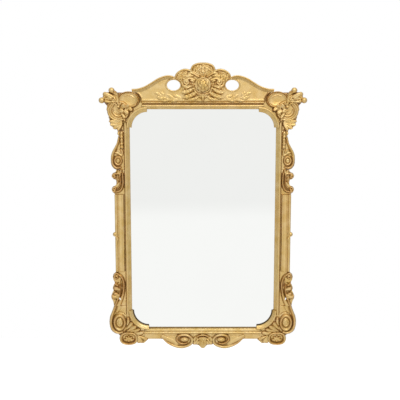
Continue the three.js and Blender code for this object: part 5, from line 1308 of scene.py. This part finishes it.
def aged_pine(along, plank):
    """Pine whose grain runs along one world axis, 'x' or 'z'; every plank number is cut from another place."""
    def build(tree):
        place = add(tree, "TexCoord").outputs["Object"]
        squeeze = (0.12, 1.0, 1.0) if along == "x" else (1.0, 1.0, 0.12)
        cut_from = (plank * 2.3, 0.0, plank * 1.7)
        run_along = add(tree, "Mapping", {"Vector": place, "Location": cut_from, "Scale": squeeze}).outputs[0]
        drift = add(tree, "TexNoise", {"Vector": run_along, "Scale": 5.0, "Detail": 2.0}).outputs["Color"]
        bent = add(tree, "Mix", {0: 0.1, 6: run_along, 7: drift}, data_type="RGBA", blend_type="ADD").outputs[2]
        rings = add(tree, "TexWave",
                    {"Vector": bent, "Scale": WAVES_PER_UNIT / (RING_SPACING / 1000), "Distortion": 1.0,
                                      "Detail": 2.0, "Detail Scale": 0.4},
                    bands_direction="Z" if along == "x" else "X").outputs["Fac"]
        fibre = add(tree, "TexNoise", {"Vector": run_along, "Scale": FIBRES_PER_METRE, "Detail": 3.0}).outputs["Fac"]
        late = add(tree, "MapRange", {"Value": rings, "From Min": 0.5, "From Max": 1.0, "To Max": 0.5},
                   interpolation_type="SMOOTHSTEP").outputs[0]
        wood = add(tree, "Mix", {0: late, 6: hex_colour("BE9563"), 7: hex_colour("8A5F35")}, data_type="RGBA")
        aged = add(tree, "Mix",
                   {0: add(tree, "MapRange",
                           {"Value": fibre, "From Min": 0.35, "From Max": 0.75, "To Max": 0.45}).outputs[0],
                                 6: wood.outputs[2], 7: hex_colour("A67C4E")}, data_type="RGBA")
        stain = add(tree, "TexNoise", {"Vector": place, "Scale": 1000 / STAIN, "Detail": 4.0}).outputs["Fac"]
        dark = add(tree, "Mix",
                   {0: add(tree, "MapRange",
                           {"Value": stain, "From Min": 0.45, "From Max": 0.75, "To Max": 0.4}).outputs[0],
                                 6: aged.outputs[2], 7: hex_colour("6F4A2A")}, data_type="RGBA")
        bump = add(tree, "Bump", {"Height": fibre, "Strength": 0.3, "Distance": 0.0004}).outputs[0]
        rough = add(tree, "MapRange", {"Value": fibre, "To Min": 0.62, "To Max": 0.8}).outputs[0]
        return add(tree, "BsdfPrincipled",
                   {"Base Color": dark.outputs[2], "Roughness": rough, "Normal": bump}).outputs[0]
    return build


pine_across = finish_material("aged_pine_grain_across", aged_pine("x", 0))
pine_upright = finish_material("aged_pine_grain_upright", aged_pine("z", 0))
finish_by_word = [
    ("frame_stile", pine_upright), ("corner_ear", pine_upright), ("crest_brace", pine_upright),
    ("plate_fillet_left", pine_upright), ("plate_fillet_right", pine_upright), ("plate_fillet", pine_across),
    ("frame_rail", pine_across),
]
for plank, board in enumerate(("backboard_lower", "backboard_middle", "backboard_upper"), start=1):
    finish_by_word.append((board, finish_material("aged_pine_" + board, aged_pine("x", plank))))
dressed = 0
for name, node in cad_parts.items():
    for word, material in finish_by_word:
        if name.startswith(word):
            node.data.materials.clear()
            node.data.materials.append(material)
            dressed += 1
            break
print("pine on", dressed, "nodes")

# %% [markdown]
# **Looking-glass.** Plate glass silvered on the back. A silvered plate sends back about nine tenths of the light,
# a hair less in the red and blue than in the green. Old silvering is not perfectly even. The hangers are
# zinc-plated steel, whose crystals, the spangles, are 2.5 mm across.

# %% Silvered plate and steel
SPANGLE = 2.5


def silvered_plate(tree):
    place = add(tree, "TexCoord").outputs["Object"]
    cloud = add(tree, "TexNoise", {"Vector": place, "Scale": 3.0, "Detail": 3.0}).outputs["Fac"]
    tone = add(tree, "MapRange", {"Value": cloud, "From Min": 0.3, "From Max": 0.7}).outputs[0]
    colour = add(tree, "Mix", {0: tone, 6: hex_colour("F6F7F5"), 7: hex_colour("F7F8F6")}, data_type="RGBA")
    rough = add(tree, "MapRange", {"Value": cloud, "To Min": 0.0, "To Max": 0.012}).outputs[0]
    return add(tree, "BsdfPrincipled",
               {"Base Color": colour.outputs[2], "Metallic": 1.0, "Roughness": rough}).outputs[0]


def dulled_zinc(tree):
    place = add(tree, "TexCoord").outputs["Object"]
    spangle = add(tree, "TexVoronoi", {"Vector": place, "Scale": 1000 / SPANGLE}).outputs["Color"]
    grey = add(tree, "RGBToBW", {"Color": spangle}).outputs[0]
    dull = add(tree, "TexNoise", {"Vector": place, "Scale": 180.0, "Detail": 4.0}).outputs["Fac"]
    colour = add(tree, "Mix", {0: grey, 6: hex_colour("A3A4A4"), 7: hex_colour("C0C1C0")}, data_type="RGBA")
    tarnish = add(tree, "Mix",
                  {0: add(tree, "MapRange",
                          {"Value": dull, "From Min": 0.5, "From Max": 0.75, "To Max": 0.7}).outputs[0],
                                6: colour.outputs[2], 7: hex_colour("77736B")}, data_type="RGBA")
    rough = add(tree, "MapRange", {"Value": dull, "To Min": 0.3, "To Max": 0.6}).outputs[0]
    return add(tree, "BsdfPrincipled",
               {"Base Color": tarnish.outputs[2], "Metallic": 1.0, "Roughness": rough}).outputs[0]


glass = finish_material("silvered_plate_glass", silvered_plate)
zinc = finish_material("dulled_zinc_plate", dulled_zinc)
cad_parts["mirror_plate"].data.materials.clear()
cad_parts["mirror_plate"].data.materials.append(glass)
for piece in steelwork + [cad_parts[f"hanger_strap_{side}"] for side in ("left", "right")]:
    piece.data.materials.clear()
    piece.data.materials.append(zinc)
print("plate and", len(steelwork) + 2, "steel pieces dressed")

# %% [markdown]
# **Studio.** A white room: the camera sees white, and metal and glass see a pale room whose floor is a little
# brighter than its walls, which gives the soft horizon in the plate. A large soft lamp stands above and in front.

# %% Floor
FLOOR_Z = -1.6
FLOOR_SEEN, FLOOR_MIRRORED = 0.6, 0.1
floor_mesh = bpy.data.meshes.new("floor")
floor_mesh.from_pydata([(-2.6, -2.4, FLOOR_Z), (2.6, -2.4, FLOOR_Z), (2.6, 2.6, FLOOR_Z), (-2.6, 2.6, FLOOR_Z)], [],
                       [(0, 1, 2, 3)])
floor = bpy.data.objects.new("floor", floor_mesh)
bpy.context.scene.collection.objects.link(floor)
floor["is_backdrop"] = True


def studio_floor(tree):
    path = add(tree, "LightPath").outputs
    reflected = add(tree, "Math", {0: path["Is Glossy Ray"], 1: path["Is Transmission Ray"]},
                    operation="MAXIMUM").outputs[0]
    lit = add(tree, "Math", {0: reflected, 1: FLOOR_MIRRORED}, operation="MULTIPLY").outputs[0]
    seen = add(tree, "Math", {0: path["Is Camera Ray"], 1: FLOOR_SEEN, 2: lit}, operation="MULTIPLY_ADD").outputs[0]
    paper = add(tree, "BsdfDiffuse", {"Color": hex_colour("F2F2F0")}).outputs[0]
    glow = add(tree, "Emission", {"Color": (1, 1, 1, 1), "Strength": seen}).outputs[0]
    return add(tree, "AddShader", {0: paper, 1: glow}).outputs[0]


floor_mesh.materials.append(finish_material("white_paper_floor", studio_floor))
print("floor at", FLOOR_Z)

# %% [markdown]
# **Light.** A lamp can be a point, a sun or a surface. A large soft surface is used, because gold shows its form
# by broad highlights, and the world gives the rest.

# %% World and lamp
def room(tree):
    path = add(tree, "LightPath").outputs
    direction = add(tree, "TexCoord").outputs["Generated"]
    way = add(tree, "SeparateXYZ", {"Vector": direction}).outputs
    level = add(tree, "MapRange", {"Value": way["Z"], "From Min": -1.0, "From Max": 1.0}).outputs[0]
    aside = add(tree, "Math", {0: way["X"]}, operation="ABSOLUTE").outputs[0]
    wall = add(tree, "MapRange", {"Value": aside, "From Min": 0.35, "From Max": 0.95, "To Min": 1.0, "To Max": 0.55},
               interpolation_type="SMOOTHSTEP").outputs[0]
    shade = add(tree, "ValToRGB", {"Fac": level})
    stops = ((0.0, 0.45), (0.22, 0.66), (0.30, 1.0), (0.424, 1.0), (0.436, 0.93), (0.56, 0.935), (0.66, 1.0),
             (1.0, 1.0))
    ramp = shade.color_ramp
    while len(ramp.elements) < len(stops):
        ramp.elements.new(0.5)
    for element, (position, value) in zip(ramp.elements, stops):
        element.position = position
        element.color = (value, value, value, 1)
    lit = add(tree, "Mix", {0: 1.0, 6: shade.outputs[0], 7: wall}, data_type="RGBA", blend_type="MULTIPLY").outputs[2]
    mirrored = add(tree, "Math", {0: path["Is Glossy Ray"], 1: path["Is Transmission Ray"]},
                   operation="MAXIMUM").outputs[0]
    soft = add(tree, "Mix", {0: mirrored, 6: (0.68, 0.68, 0.68, 1), 7: lit}, data_type="RGBA").outputs[2]
    seen = add(tree, "Mix", {0: path["Is Camera Ray"], 6: soft, 7: (1, 1, 1, 1)}, data_type="RGBA").outputs[2]
    return add(tree, "Background", {"Color": seen, "Strength": 1.0}).outputs[0]


world = bpy.data.worlds.new("studio")
world.use_nodes = True
world.node_tree.nodes.clear()
world_output = world.node_tree.nodes.new("ShaderNodeOutputWorld")
world.node_tree.links.new(room(world.node_tree), world_output.inputs["Surface"])
bpy.context.scene.world = world

lamp_data = bpy.data.lights.new("softbox", "AREA")
lamp_data.shape = "RECTANGLE"
lamp_data.size, lamp_data.size_y = 2.6, 1.6
lamp_data.energy = 38.0
lamp = bpy.data.objects.new("softbox", lamp_data)
lamp.location = (0.7, -2.6, 2.8)
lamp.rotation_euler = (Vector((0, 0, 0.1)) - lamp.location).to_track_quat("-Z", "Y").to_euler()
bpy.context.scene.collection.objects.link(lamp)
bpy.context.scene.view_settings.view_transform = "Standard"
print("lamp energy", lamp_data.energy)

# %% Size of this dressed version
low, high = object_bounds()
